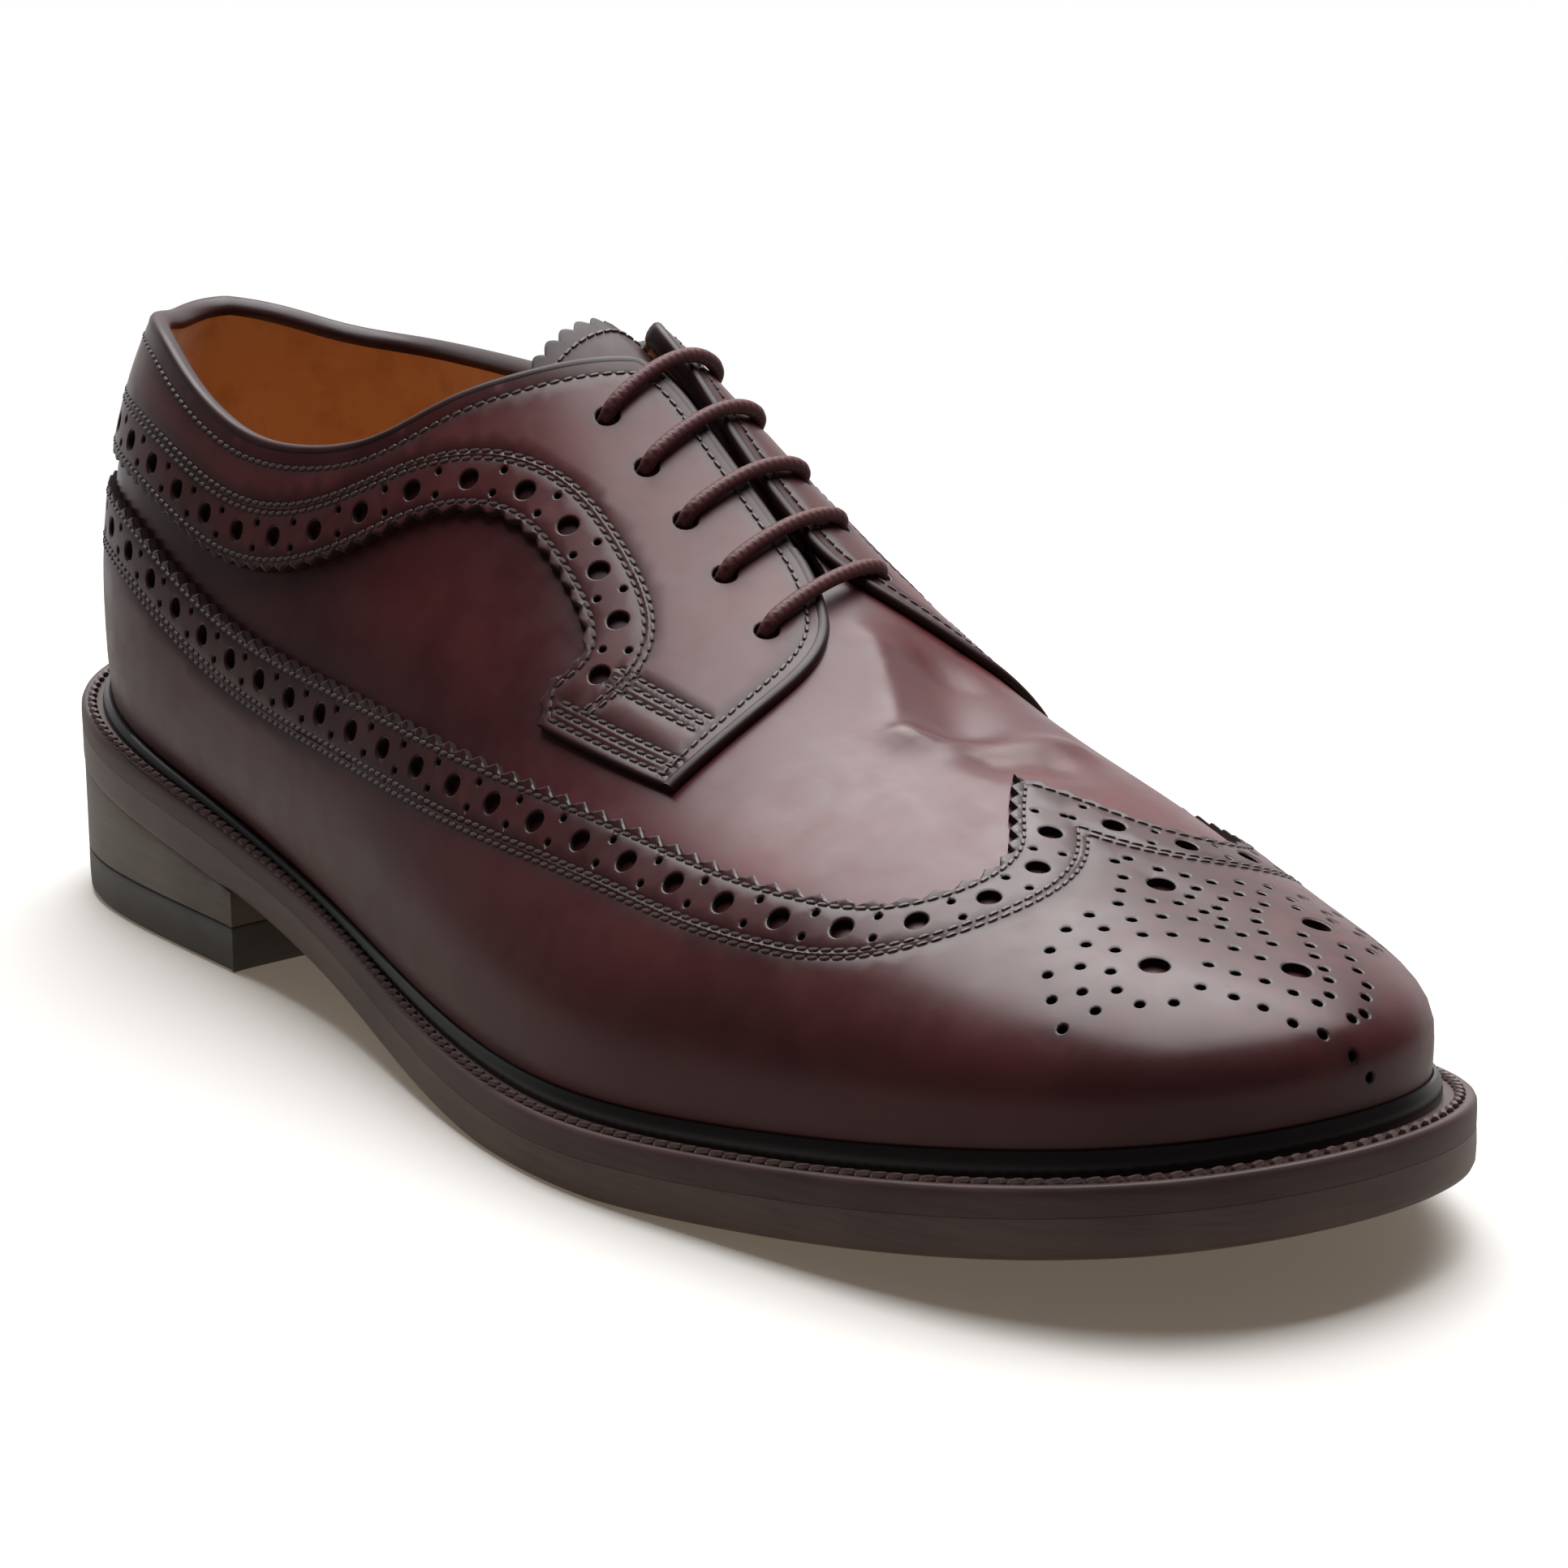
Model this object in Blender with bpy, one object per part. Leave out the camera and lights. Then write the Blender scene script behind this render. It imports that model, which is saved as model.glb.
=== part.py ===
"""Longwing brogue derby, right shoe, standing empty on its sole.

The model is in metres: +X runs from heel to toe, +Y to the inner side of the foot and +Z up,
with the origin on the floor under the middle of the sole. Driving sizes are in millimetres.
"""

import bmesh
import bpy
import numpy as np
from mathutils import Vector
from mathutils.geometry import delaunay_2d_cdt

MM = 0.001

# The last, a row for each station from heel back to toe tip: where its section meets the ridge
# and, on each side, the feather edge, then how the section swells and rises between them
LAST_COLUMNS = ("ridge_x", "ridge_y", "lateral_x", "lateral_y", "medial_x", "medial_y", "swell", "swell_up",
                "ridge_z", "lateral_pull", "lateral_crown", "medial_pull", "medial_crown", "welt_width")
LAST = {
    "heel_back": (40, 0, 7, 0, 7, 0, 2.0, 18, 118, 0.55, 0.46, 0.55, 0.46, 7.4),
    "heel_quarter": (40, 0, 16, -21.2, 16, 21.8, 0.6, 18, 116.5, 0.58, 0.38, 0.58, 0.38, 7.4),
    "heel_side": (40, 0.5, 38, -32, 38, 31, 1.8, 18, 116, 0.58, 0.60, 0.58, 0.60, 6.0),
    "seat": (75, 3, 75, -34.8, 75, 29, 3.5, 16, 112, 0.50, 0.65, 0.50, 0.65, 5.0),
    "waist": (115, 8, 115, -37.5, 115, 25.5, 4.8, 14, 110, 0.38, 0.50, 0.45, 0.66, 5.0),
    "joint_back": (155, 11, 155, -44.5, 155, 32, 4.0, 12, 85, 0.38, 0.52, 0.50, 0.85, 6.2),
    "ball": (195, 8.5, 195, -49.8, 195, 43.5, 2.1, 10, 62, 0.49, 0.49, 0.55, 0.74, 7.0),
    "toe_back": (222, 5.5, 228, -45.8, 228, 46, 1.7, 9, 53.8, 0.54, 0.55, 0.56, 0.60, 7.3),
    "toe_shoulder": (242, 4, 262.5, -38, 262, 37, 1.1, 9, 48.0, 0.56, 0.52, 0.56, 0.54, 7.7),
    "toe_quarter": (251, 4.3, 290, -22.5, 286.5, 25, 0.6, 9, 45.6, 0.57, 0.53, 0.57, 0.53, 7.7),
    "toe_tip": (253, 4.5, 297, 4, 297, 4, 1.2, 9, 45.0, 0.57, 0.53, 0.57, 0.53, 7.7),
}
TOE_TIP = len(LAST) - 1
LOOP = 2 * TOE_TIP

# How low the section's knee is over the feather edge, and how the toe falls away ahead of the ridge
KNEE = 0.35
TOE_FALL = 0.24

# Feather edge, where upper meets sole: its height over the floor along the shoe, heel to toe spring
FEATHER = ((0, 37.0), (38, 30.4), (75, 25.0), (115, 18.0), (155, 12.2), (195, 10.0), (228, 11.6),
           (262, 15.5), (306, 22.3))

# Pattern lines on the last as (station, girth) rows. Girth is measured up the section from the
# feather edge, or down from the ridge where it is negative
SEAM = 0.02
THROAT_END = {"lateral": (5.4, -1.8), "medial": (5.3, -1.9)}
COLLAR = {
    "lateral": ((SEAM, 64), (1, 65.5), (2, 68.7), (2.4, 66.3), (3.05, 62.9), (3.5, 67), (3.8, 73.5),
                (4.05, 84.5), (4.26, -19), (4.46, -4.0)),
    "medial": ((SEAM, 64), (0.6, 62), (1.3, 59.7), (2.1, 61.5), (2.8, 66), (3.4, 72.5), (3.75, 80),
               (4.04, -15), (4.26, -5.2)),
}
THROAT = {
    "lateral": ((4.46, -4.0), (4.58, -2.0), (4.8, -1.6), (5.1, -1.6), THROAT_END["lateral"]),
    "medial": ((4.26, -5.2), (4.36, -3.8), (4.52, -2.9), (4.72, -1.8), (4.92, -1.1), (5.1, -1.2),
               THROAT_END["medial"]),
}
THROAT_FOOT = {
    "lateral": (THROAT_END["lateral"], (5.47, -1.2), (5.5, -0.0)),
    "medial": (THROAT_END["medial"], (5.44, -1.3), (5.5, -0.0)),
}
FACING_FRONT = {
    "lateral": (THROAT_END["lateral"], (5.5, -2.6), (5.6, -3.9), (5.7, -5.9), (5.78, -8.8), (5.85, -13.2),
                (5.92, -22), (5.96, -33), (5.97, 49.2)),
    "medial": (THROAT_END["medial"], (5.4, -3.0), (5.48, -4.9), (5.56, -7.6), (5.64, -10.8), (5.74, -15.5),
               (5.85, -22), (5.92, 42)),
}
TAB_FOOT = {
    "lateral": ((5.97, 49.2), (5.6, 49.2), (5.28, 49.2)),
    "medial": ((5.92, 42), (5.6, 42.3), (5.28, 43)),
}
FACING_LOWER = {
    "lateral": ((5.28, 49.2), (5.2, 55), (5.23, 60), (4.9, 70.5), (4.6, 73), (4.33, 69), (3.83, 54),
                (3.3, 44.2), (2.88, 42.3), (2.3, 44.4), (1, 42.5), (SEAM, 41.5)),
    "medial": ((5.28, 43), (5.2, 48), (5.22, 52), (4.9, 60), (4.6, 63), (4.33, 60.5), (3.83, 51),
               (3.3, 44.2), (2.88, 42.3), (2.3, 43), (1, 41.5), (SEAM, 41.5)),
}
WING = {
    "lateral": ((0, 37.5), (1.2, 38), (2.25, 39.4), (3, 35.3), (4.15, 38.5), (5.23, 41.7), (6.12, 41.5),
                (7.12, 37.6), (7.48, 39.1), (7.7, 46.7), (7.7, 55), (7.5, -8), (7.15, -0.0)),
    "medial": ((0, 37.5), (1.2, 37.5), (2.25, 38), (3, 35.3), (4.15, 37), (5.23, 38), (6.12, 35.5),
               (7.05, 31.5), (7.48, 33.5), (7.7, 39.5), (7.7, 47.5), (7.5, -8), (7.15, -0.0)),
}

# Thicknesses
GAP = 0.3
WALL = 2.2
OVERLAY = 1.2
TONGUE_THICK = 2.4
TONGUE_CLEAR = 1.2
WELT_THICK = 4.2
WELT_SEAT = 4.0
WELT_LIP = 3.2
LIP_FOOT = 3.0
LIP_WIDTH = 1.2
LIP_LEAN = 0.22
LIP_ROUND = 0.5
OUTSOLE_THICK = 5.2
TREAD_FLAT = 0.3
TOP_PIECE_THICK = 7.5
LACE_RADIUS = 1.3
LACE_CLEAR = 0.6
HEEL_INSET = 0.4

# Tongue, along the ridge by station and across it by girth, with a rounded top
TONGUE_TOP = 4.1
TONGUE_ROUNDING = 0.08
TONGUE_FOOT = 5.9
TONGUE_HALF_WIDTH = ((4.0, 20), (4.4, 22), (5.2, 20), (5.9, 15))

# Heel breast
BREAST_X = 82.0
BREAST_HOLLOW = 2.5

# Lacing: five bars, each from an eyelet on one facing to its fellow on the other
EYELETS = {"lateral": (4.61, 4.85, 5.09, 5.34, 5.62), "medial": (4.47, 4.71, 4.97, 5.20, 5.45)}
EYELET_GIRTH = {"lateral": 14.6, "medial": 10.5}

# Girth over which the leather's thickness turns from level to square with the last
TURN_IN = 10.0

# Mesh sizes
PANEL_STEP = 7.4
NEAREST = 0.8
FILL_STEPS = (0.1, 3.0)
LINE_STEP = 6.2
SOLE_SAMPLES = 96
AHEAD = 0.05

# Colours as linear RGB, with roughness
MATERIALS = {
    "burgundy_leather": ((0.045, 0.012, 0.014), 0.32),
    "wing_leather": ((0.050, 0.014, 0.016), 0.30),
    "facing_leather": ((0.040, 0.011, 0.013), 0.32),
    "tongue_leather": ((0.040, 0.012, 0.014), 0.45),
    "tan_leather": ((0.40, 0.17, 0.05), 0.60),
    "welt_leather": ((0.030, 0.018, 0.016), 0.55),
    "sole_leather": ((0.050, 0.032, 0.028), 0.50),
    "heel_leather": ((0.080, 0.068, 0.062), 0.50),
    "black_rubber": ((0.035, 0.033, 0.032), 0.70),
    "waxed_cotton": ((0.035, 0.012, 0.012), 0.60),
}


def spline(knots, rows):
    """Natural cubic spline through rows at rising knots, as a function of the knot value."""
    x = np.asarray(knots, float)
    y = np.asarray(rows, float).reshape(len(x), -1)
    h = np.diff(x)
    matrix = np.eye(len(x))
    right = np.zeros_like(y)
    for i in range(1, len(x) - 1):
        matrix[i, i - 1:i + 2] = h[i - 1], 2 * (h[i - 1] + h[i]), h[i]
        right[i] = 6 * ((y[i + 1] - y[i]) / h[i] - (y[i] - y[i - 1]) / h[i - 1])
    bend = np.linalg.solve(matrix, right)

    def value(at):
        at = np.asarray(at, float)
        i = np.clip(np.searchsorted(x, at) - 1, 0, len(x) - 2)
        step = h[i][..., None]
        after = (at - x[i])[..., None]
        before = (x[i + 1] - at)[..., None]
        curved = (bend[i] * before ** 3 + bend[i + 1] * after ** 3) / (6 * step)
        low = (y[i] / step - bend[i] * step / 6) * before
        high = (y[i + 1] / step - bend[i + 1] * step / 6) * after
        return curved + low + high

    return value


def feather_height(x):
    """Height of the feather edge over the floor."""
    return FEATHER_SPLINE(x)[..., 0]


def station_loop():
    """Spline of the last's rows round the shoe: lateral from heel to toe, then medial back to the heel."""
    table = {name: [row[k] for row in LAST.values()] for k, name in enumerate(LAST_COLUMNS)}
    sides = {}
    for side in ("lateral", "medial"):
        names = (side + "_x", side + "_y", "ridge_x", "ridge_y", "swell", "swell_up", "ridge_z",
                 side + "_pull", side + "_crown", "welt_width")
        sides[side] = np.array([table[name] for name in names], float).T
    loop = np.vstack([sides["lateral"], sides["medial"][-2:0:-1]])
    rounds = np.vstack([loop, loop, loop])
    return spline(np.arange(len(rounds)) - LOOP, rounds)


FEATHER_SPLINE = spline([x for x, _ in FEATHER], [z for _, z in FEATHER])
STATIONS = station_loop()
FOOT_LEVELS = np.linspace(0, 1, 9)
CROWN_LEVELS = np.linspace(0, 1, 33)[1:]


def sections(station):
    """Sections of the last at the given stations: radius from the ridge, height and girth up each one."""
    row = STATIONS(np.mod(station, LOOP))
    edge_x, edge_y, ridge_x, ridge_y, swell, swell_up, ridge_z, side_pull, crown_pull = row.T[:9]
    edge_z = feather_height(edge_x)
    reach = np.hypot(edge_x - ridge_x, edge_y - ridge_y)
    heading = np.column_stack([(edge_x - ridge_x) / reach, (edge_y - ridge_y) / reach])
    widest = (reach + swell)[:, None]
    widest_z = (edge_z + swell_up)[:, None]
    rise = ridge_z[:, None] - widest_z
    a = FOOT_LEVELS[None, :]
    foot_r = (1 - a) ** 2 * reach[:, None] + (2 * a * (1 - a) + a ** 2) * widest
    knee = (edge_z + KNEE * swell_up)[:, None]
    foot_z = (1 - a) ** 2 * edge_z[:, None] + 2 * a * (1 - a) * knee + a ** 2 * widest_z
    b = CROWN_LEVELS[None, :]
    inward = 3 * (1 - b) * b ** 2
    fall = TOE_FALL * np.clip(heading[:, :1], 0, 1) * crown_pull[:, None] * widest
    crown_r = widest * ((1 - b) ** 3 + 3 * (1 - b) ** 2 * b + inward * crown_pull[:, None])
    crown_z = widest_z + rise * (3 * (1 - b) ** 2 * b * side_pull[:, None] + inward + b ** 3) - inward * fall
    radius = np.hstack([foot_r, crown_r])
    height = np.hstack([foot_z, crown_z])
    steps = np.hypot(np.diff(radius, axis=1), np.diff(height, axis=1))
    girth = np.hstack([np.zeros((len(row), 1)), np.cumsum(steps, axis=1)])
    ridge = np.column_stack([ridge_x, ridge_y])
    return radius, height, girth, ridge, heading


def absolute_girth(station, girth):
    """Girth up from the feather edge, with negative ones counted down from the ridge."""
    full = sections(station)[2][:, -1]
    return np.where(np.signbit(girth), full + girth, girth)


def on_last(station, girth):
    """Points of the last, and of its section rolled out flat about the ridge, at (station, girth)."""
    radius, height, along, ridge, heading = sections(station)
    flat = along[:, -1] - girth
    r = np.array([np.interp(g, a, row) for g, a, row in zip(girth, along, radius)])
    z = np.array([np.interp(g, a, row) for g, a, row in zip(girth, along, height)])
    point = np.column_stack([ridge + r[:, None] * heading, z])
    return point, ridge + flat[:, None] * heading


def trace(rows, side, step=LINE_STEP):
    """Pattern line through (station, girth) rows on one side, as evenly spaced (station, girth) points."""
    station = np.array([row[0] for row in rows], float)
    if side == "medial":
        station = LOOP - station
    girth = absolute_girth(station, np.array([row[1] for row in rows], float))
    flat = on_last(station, girth)[1]
    knots = np.concatenate([[0], np.cumsum(np.linalg.norm(np.diff(flat, axis=0), axis=1))])
    curve = spline(knots, np.column_stack([station, girth]))
    dense = curve(np.linspace(0, knots[-1], 30 * len(rows)))
    top = sections(dense[:, 0])[2][:, -1]
    dense[:, 1] = np.clip(dense[:, 1], 0, top)
    point = on_last(dense[:, 0], dense[:, 1])[0]
    length = np.concatenate([[0], np.cumsum(np.linalg.norm(np.diff(point, axis=0), axis=1))])
    count = max(2, int(round(length[-1] / step)) + 1)
    even = np.linspace(0, length[-1], count)
    return np.column_stack([np.interp(even, length, dense[:, k]) for k in range(2)])


def chain(*pieces):
    """Lines joined end to end, each shared end kept once."""
    return np.vstack([pieces[0]] + [piece[1:] for piece in pieces[1:]])


def inside(points, polygon):
    """Which flat points lie inside a closed polygon."""
    x, y = points[:, 0, None], points[:, 1, None]
    ax, ay = polygon[:, 0], polygon[:, 1]
    bx, by = np.roll(ax, -1), np.roll(ay, -1)
    crosses = (ay > y) != (by > y)
    run = np.where(by == ay, 1.0, by - ay)
    return (crosses & (x < ax + (y - ay) * (bx - ax) / run)).sum(axis=1) % 2 == 1


def pattern_lines():
    """All the lines that the upper's pieces are cut on, as (station, girth) loops."""
    collar, throat, foot, facing, wing = {}, {}, {}, {}, {}
    for side in ("lateral", "medial"):
        collar[side] = trace(COLLAR[side], side)
        throat[side] = trace(THROAT[side], side)
        foot[side] = trace(THROAT_FOOT[side], side, LINE_STEP / 2)
        wing[side] = trace(WING[side], side)
        edge = chain(trace(FACING_FRONT[side], side), trace(TAB_FOOT[side], side),
                     trace(FACING_LOWER[side], side))
        facing[side] = chain(collar[side], throat[side], edge)
    half = {side: chain(collar[side], throat[side], foot[side]) for side in collar}
    top_line = np.vstack([half["lateral"], half["medial"][::-1][1:]])
    wing_line = np.vstack([wing["lateral"], wing["medial"][::-1][1:-1]])
    count = int(round(sum(np.linalg.norm(np.diff(sole_outline(0.0), axis=0), axis=1)) / LINE_STEP))
    edge_line = np.column_stack([np.arange(count) * LOOP / count, np.zeros(count)])
    return {"feather": edge_line, "top": top_line, "wing": wing_line,
            "lateral": facing["lateral"], "medial": facing["medial"]}


def upper_triangles(lines):
    """One triangulation of the last's surface that every piece of the upper is cut from."""
    station, girth = [], []
    edges = []
    total = 0
    for loop in lines.values():
        station.append(loop[:, 0])
        girth.append(loop[:, 1])
        edges += [(total + i, total + (i + 1) % len(loop)) for i in range(len(loop))]
        total += len(loop)
    along = np.arange(0, LOOP, FILL_STEPS[0])
    levels = np.arange(FILL_STEPS[1], sections(along)[2].max(), FILL_STEPS[1])
    fill = np.stack(np.meshgrid(along, levels, indexing="ij"), -1)
    fill = fill.reshape(-1, 2)
    fill = fill[fill[:, 1] <= sections(fill[:, 0])[2][:, -1]]
    kept_station, kept_girth = np.concatenate(station), np.concatenate(girth)
    kept = list(on_last(kept_station, kept_girth)[0])
    chosen = []
    for row, point in zip(fill, on_last(fill[:, 0], fill[:, 1])[0]):
        nearest = np.min(np.linalg.norm(np.array(kept) - point, axis=1))
        if nearest > NEAREST * PANEL_STEP:
            kept.append(point)
            chosen.append(row)
    chosen = np.array(chosen)
    station = np.concatenate([kept_station, chosen[:, 0]])
    girth = np.concatenate([kept_girth, chosen[:, 1]])
    flat = on_last(station, girth)[1]
    result = delaunay_2d_cdt([Vector(p) for p in flat], edges, [], 0, 1e-4)
    source = [origins[0] for origins in result[3]]
    triangles = np.array([[source[i] for i in face] for face in result[2]])
    centre = flat[triangles].mean(axis=1)
    polygons = {name: on_last(loop[:, 0], loop[:, 1])[1] for name, loop in lines.items()}
    region = {name: inside(centre, polygon) for name, polygon in polygons.items()}
    shell = region["feather"] & ~region["top"]
    return station, girth, triangles, {
        "upper": shell,
        "wing": shell & ~region["wing"],
        "facing_lateral": shell & region["lateral"],
        "facing_medial": shell & region["medial"],
    }


def surface_normals(points, triangles):
    """Outward normals of a triangulated surface at its points."""
    a, b, c = (points[triangles[:, k]] for k in range(3))
    face = np.cross(b - a, c - a)
    normal = np.zeros_like(points)
    for k in range(3):
        np.add.at(normal, triangles[:, k], face)
    return normal / np.maximum(np.linalg.norm(normal, axis=1), 1e-9)[:, None]


def leather(name):
    """Principled material of one sub-part."""
    colour, roughness = MATERIALS[name]
    material = bpy.data.materials.get(name) or bpy.data.materials.new(name)
    material.use_nodes = True
    shader = material.node_tree.nodes["Principled BSDF"]
    shader.inputs["Base Color"].default_value = (*colour, 1.0)
    shader.inputs["Roughness"].default_value = roughness
    shader.inputs["Metallic"].default_value = 0.0
    return material


def add_object(name, data, material):
    """Object under the shoe's root, with its material."""
    data.materials.append(leather(material))
    thing = bpy.data.objects.new(name, data)
    bpy.context.scene.collection.objects.link(thing)
    thing.parent = bpy.data.objects["brogue_derby"]
    return thing


def add_solid(name, points, faces, material):
    """Closed mesh object from points in millimetres, its faces turned outward."""
    mesh = bpy.data.meshes.new(name)
    mesh.from_pydata(((np.asarray(points) - ORIGIN) * MM).tolist(), [], faces)
    work = bmesh.new()
    work.from_mesh(mesh)
    bmesh.ops.recalc_face_normals(work, faces=work.faces[:])
    bmesh.ops.triangulate(work, faces=work.faces[:])
    work.to_mesh(mesh)
    work.free()
    mesh.shade_smooth()
    mesh.set_sharp_from_angle(angle=np.radians(40))
    return add_object(name, mesh, material)


def add_sheet(name, low, high, triangles, material):
    """Solid sheet between a lower and an upper copy of one triangulation, walled round its edges."""
    used = np.unique(triangles)
    renumber = {old: new for new, old in enumerate(used)}
    faces = [tuple(renumber[i] for i in face) for face in triangles.tolist()]
    count = len(used)
    directed = {(face[k], face[(k + 1) % 3]) for face in faces for k in range(3)}
    rim = [(a, b) for a, b in directed if (b, a) not in directed]
    walls = [(b, a, a + count, b + count) for a, b in sorted(rim)]
    below = [tuple(reversed(face)) for face in faces]
    above = [tuple(i + count for i in face) for face in faces]
    add_solid(name, np.vstack([low[used], high[used]]), below + above + walls, material)


def sole_outline(widths):
    """Plan of the feather edge moved outward by the given widths, lateral side first."""
    station = np.arange(SOLE_SAMPLES) * LOOP / SOLE_SAMPLES
    edge = STATIONS(station)[:, :2]
    run = np.roll(edge, -1, axis=0) - np.roll(edge, 1, axis=0)
    out = np.column_stack([run[:, 1], -run[:, 0]]) / np.linalg.norm(run, axis=1)[:, None]
    return edge + np.asarray(widths).reshape(-1, 1) * out


def welt_widths():
    """Width of the welt past the feather edge round the shoe."""
    station = np.arange(SOLE_SAMPLES) * LOOP / SOLE_SAMPLES
    return STATIONS(station)[:, -1]


def add_slab(name, outline, top, bottom, material):
    """Solid slab with a plan outline between two height functions of x."""
    count = len(outline)
    edges = [(i, (i + 1) % count) for i in range(count)]
    result = delaunay_2d_cdt([Vector(p) for p in outline], edges, [], 1, 1e-5)
    cap = [tuple(result[3][i][0] for i in face) for face in result[2]]
    high = np.column_stack([outline, top(outline[:, 0])])
    low = np.column_stack([outline, bottom(outline[:, 0])])
    faces = cap + [tuple(i + count for i in reversed(face)) for face in cap]
    faces += [(a, b, b + count, a + count) for a, b in edges]
    add_solid(name, np.vstack([high, low]), faces, material)


def add_upper():
    """Hollow upper, open at collar, throat and underneath, with the wing and the two facings over it."""
    station, girth, triangles, region = upper_triangles(pattern_lines())
    points = on_last(station, girth)[0]
    shell = triangles[region["upper"]]
    a, b, c = (points[shell[:, k]] for k in range(3))
    upward = np.cross(b - a, c - a)[:, 2].sum() > 0
    triangles = triangles if upward else triangles[:, ::-1]
    normal = surface_normals(points, triangles[region["upper"]])
    normal[:, 2] *= np.clip(girth / TURN_IN, 0, 1)
    normal /= np.maximum(np.linalg.norm(normal, axis=1), 1e-9)[:, None]
    base, top = GAP, GAP + OVERLAY
    add_sheet("upper", points - WALL * normal, points, triangles[region["upper"]], "burgundy_leather")
    add_sheet("wing", points + base * normal, points + top * normal, triangles[region["wing"]],
              "wing_leather")
    for name in ("facing_lateral", "facing_medial"):
        add_sheet(name, points + base * normal, points + top * normal, triangles[region[name]],
                  "facing_leather")


def across_ridge(station, girths):
    """Points of the last across the ridge by station: lateral girths negative, medial positive."""
    sides = np.where(girths < 0, station, LOOP - station)
    full = sections(sides)[2][:, -1]
    return on_last(sides, full - np.abs(girths))[0]


def add_tongue():
    """Tongue under the throat, sewn in under the vamp and standing over the facings at the top."""
    width = spline([row[0] for row in TONGUE_HALF_WIDTH], [row[1] for row in TONGUE_HALF_WIDTH])
    across = np.linspace(-1, 1, 11)
    top = TONGUE_TOP + TONGUE_ROUNDING * across ** 2
    rows = [top + share * (TONGUE_FOOT - top) for share in np.linspace(0, 1, 16)]
    points = np.vstack([across_ridge(row, across * width(row)[:, 0]) for row in rows])
    wide = len(across)
    triangles = []
    for i in range(len(rows) - 1):
        for j in range(wide - 1):
            corner = i * wide + j
            triangles.append((corner, corner + wide, corner + wide + 1))
            triangles.append((corner, corner + wide + 1, corner + 1))
    triangles = np.array(triangles)
    normal = surface_normals(points, triangles)
    normal = normal if normal[:, 2].sum() > 0 else -normal
    face = WALL + TONGUE_CLEAR
    back = face + TONGUE_THICK
    add_sheet("tongue", points - back * normal, points - face * normal, triangles, "tongue_leather")


def add_laces():
    """Lace bars arched over the throat from facing to facing."""
    lift = GAP + OVERLAY + LACE_CLEAR + LACE_RADIUS
    girths = np.linspace(-EYELET_GIRTH["lateral"], EYELET_GIRTH["medial"], 9)
    for k, ends in enumerate(zip(EYELETS["lateral"], EYELETS["medial"])):
        station = np.linspace(*ends, len(girths))
        middle = across_ridge(station, girths)
        ahead = across_ridge(station + AHEAD, girths)
        sweep = np.cross(ahead - middle, np.gradient(middle, axis=0))
        normal = sweep / np.linalg.norm(sweep, axis=1)[:, None]
        path = (middle + lift * normal - ORIGIN) * MM
        curve = bpy.data.curves.new("lace_bar_%d" % (k + 1), "CURVE")
        curve.dimensions = "3D"
        curve.bevel_depth = LACE_RADIUS * MM
        curve.bevel_resolution = 2
        curve.use_fill_caps = True
        route = curve.splines.new("POLY")
        route.points.add(len(path) - 1)
        for point, place in zip(route.points, path):
            point.co = (*place, 1.0)
        add_object(curve.name, curve, "waxed_cotton")


def add_welt():
    """Welt: a strip round the whole shoe that carries the upper, with a low lip against it."""
    width = welt_widths()
    lip_in = GAP + OVERLAY + GAP
    lip = WELT_LIP * (width - LIP_FOOT) / (width.max() - LIP_FOOT)
    swell = STATIONS(np.arange(SOLE_SAMPLES) * LOOP / SOLE_SAMPLES)[:, 4]
    lean = LIP_LEAN * swell * lip
    corners = ((-WELT_SEAT, -WELT_THICK), (width, -WELT_THICK), (width, -LIP_ROUND), (width - LIP_ROUND, 0.0),
               (lip_in + lean + LIP_WIDTH, 0.0), (lip_in + lean + LIP_WIDTH - LIP_ROUND, lip),
               (lip_in + lean, lip), (lip_in, 0.0), (-WELT_SEAT, 0.0))
    loops = []
    for out, up in corners:
        plan = sole_outline(np.broadcast_to(out, SOLE_SAMPLES))
        loops.append(np.column_stack([plan, feather_height(plan[:, 0]) - GAP + up]))
    count = SOLE_SAMPLES
    faces = []
    for k in range(len(loops)):
        this, after = k * count, (k + 1) % len(loops) * count
        for i in range(count):
            j = (i + 1) % count
            faces.append((this + i, this + j, after + j, after + i))
    add_solid("welt", np.vstack(loops), faces, "welt_leather")


def sole_underside(x):
    """Underside of the outsole, with a flat tread under the ball of the foot."""
    stack = 2 * GAP + WELT_THICK + OUTSOLE_THICK + TREAD_FLAT
    return np.maximum(feather_height(x) - stack, 0.0)


def add_bottom():
    """Insole inside the welt, outsole under it, and the stacked heel with its rubber top piece."""
    insole = sole_outline(-WELT_SEAT - GAP)
    add_slab("insole", insole, lambda x: feather_height(x) - GAP,
             lambda x: feather_height(x) - GAP - WELT_THICK, "tan_leather")
    outline = sole_outline(welt_widths())
    add_slab("outsole", outline, lambda x: feather_height(x) - WELT_THICK - 2 * GAP, sole_underside,
             "sole_leather")
    heel = heel_outline(sole_outline(welt_widths() - HEEL_INSET))
    add_slab("heel_stack", heel, lambda x: sole_underside(x) - GAP,
             lambda x: np.full_like(x, TOP_PIECE_THICK + GAP), "heel_leather")
    add_slab("heel_top_piece", heel, lambda x: np.full_like(x, TOP_PIECE_THICK),
             lambda x: np.zeros_like(x), "black_rubber")


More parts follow.
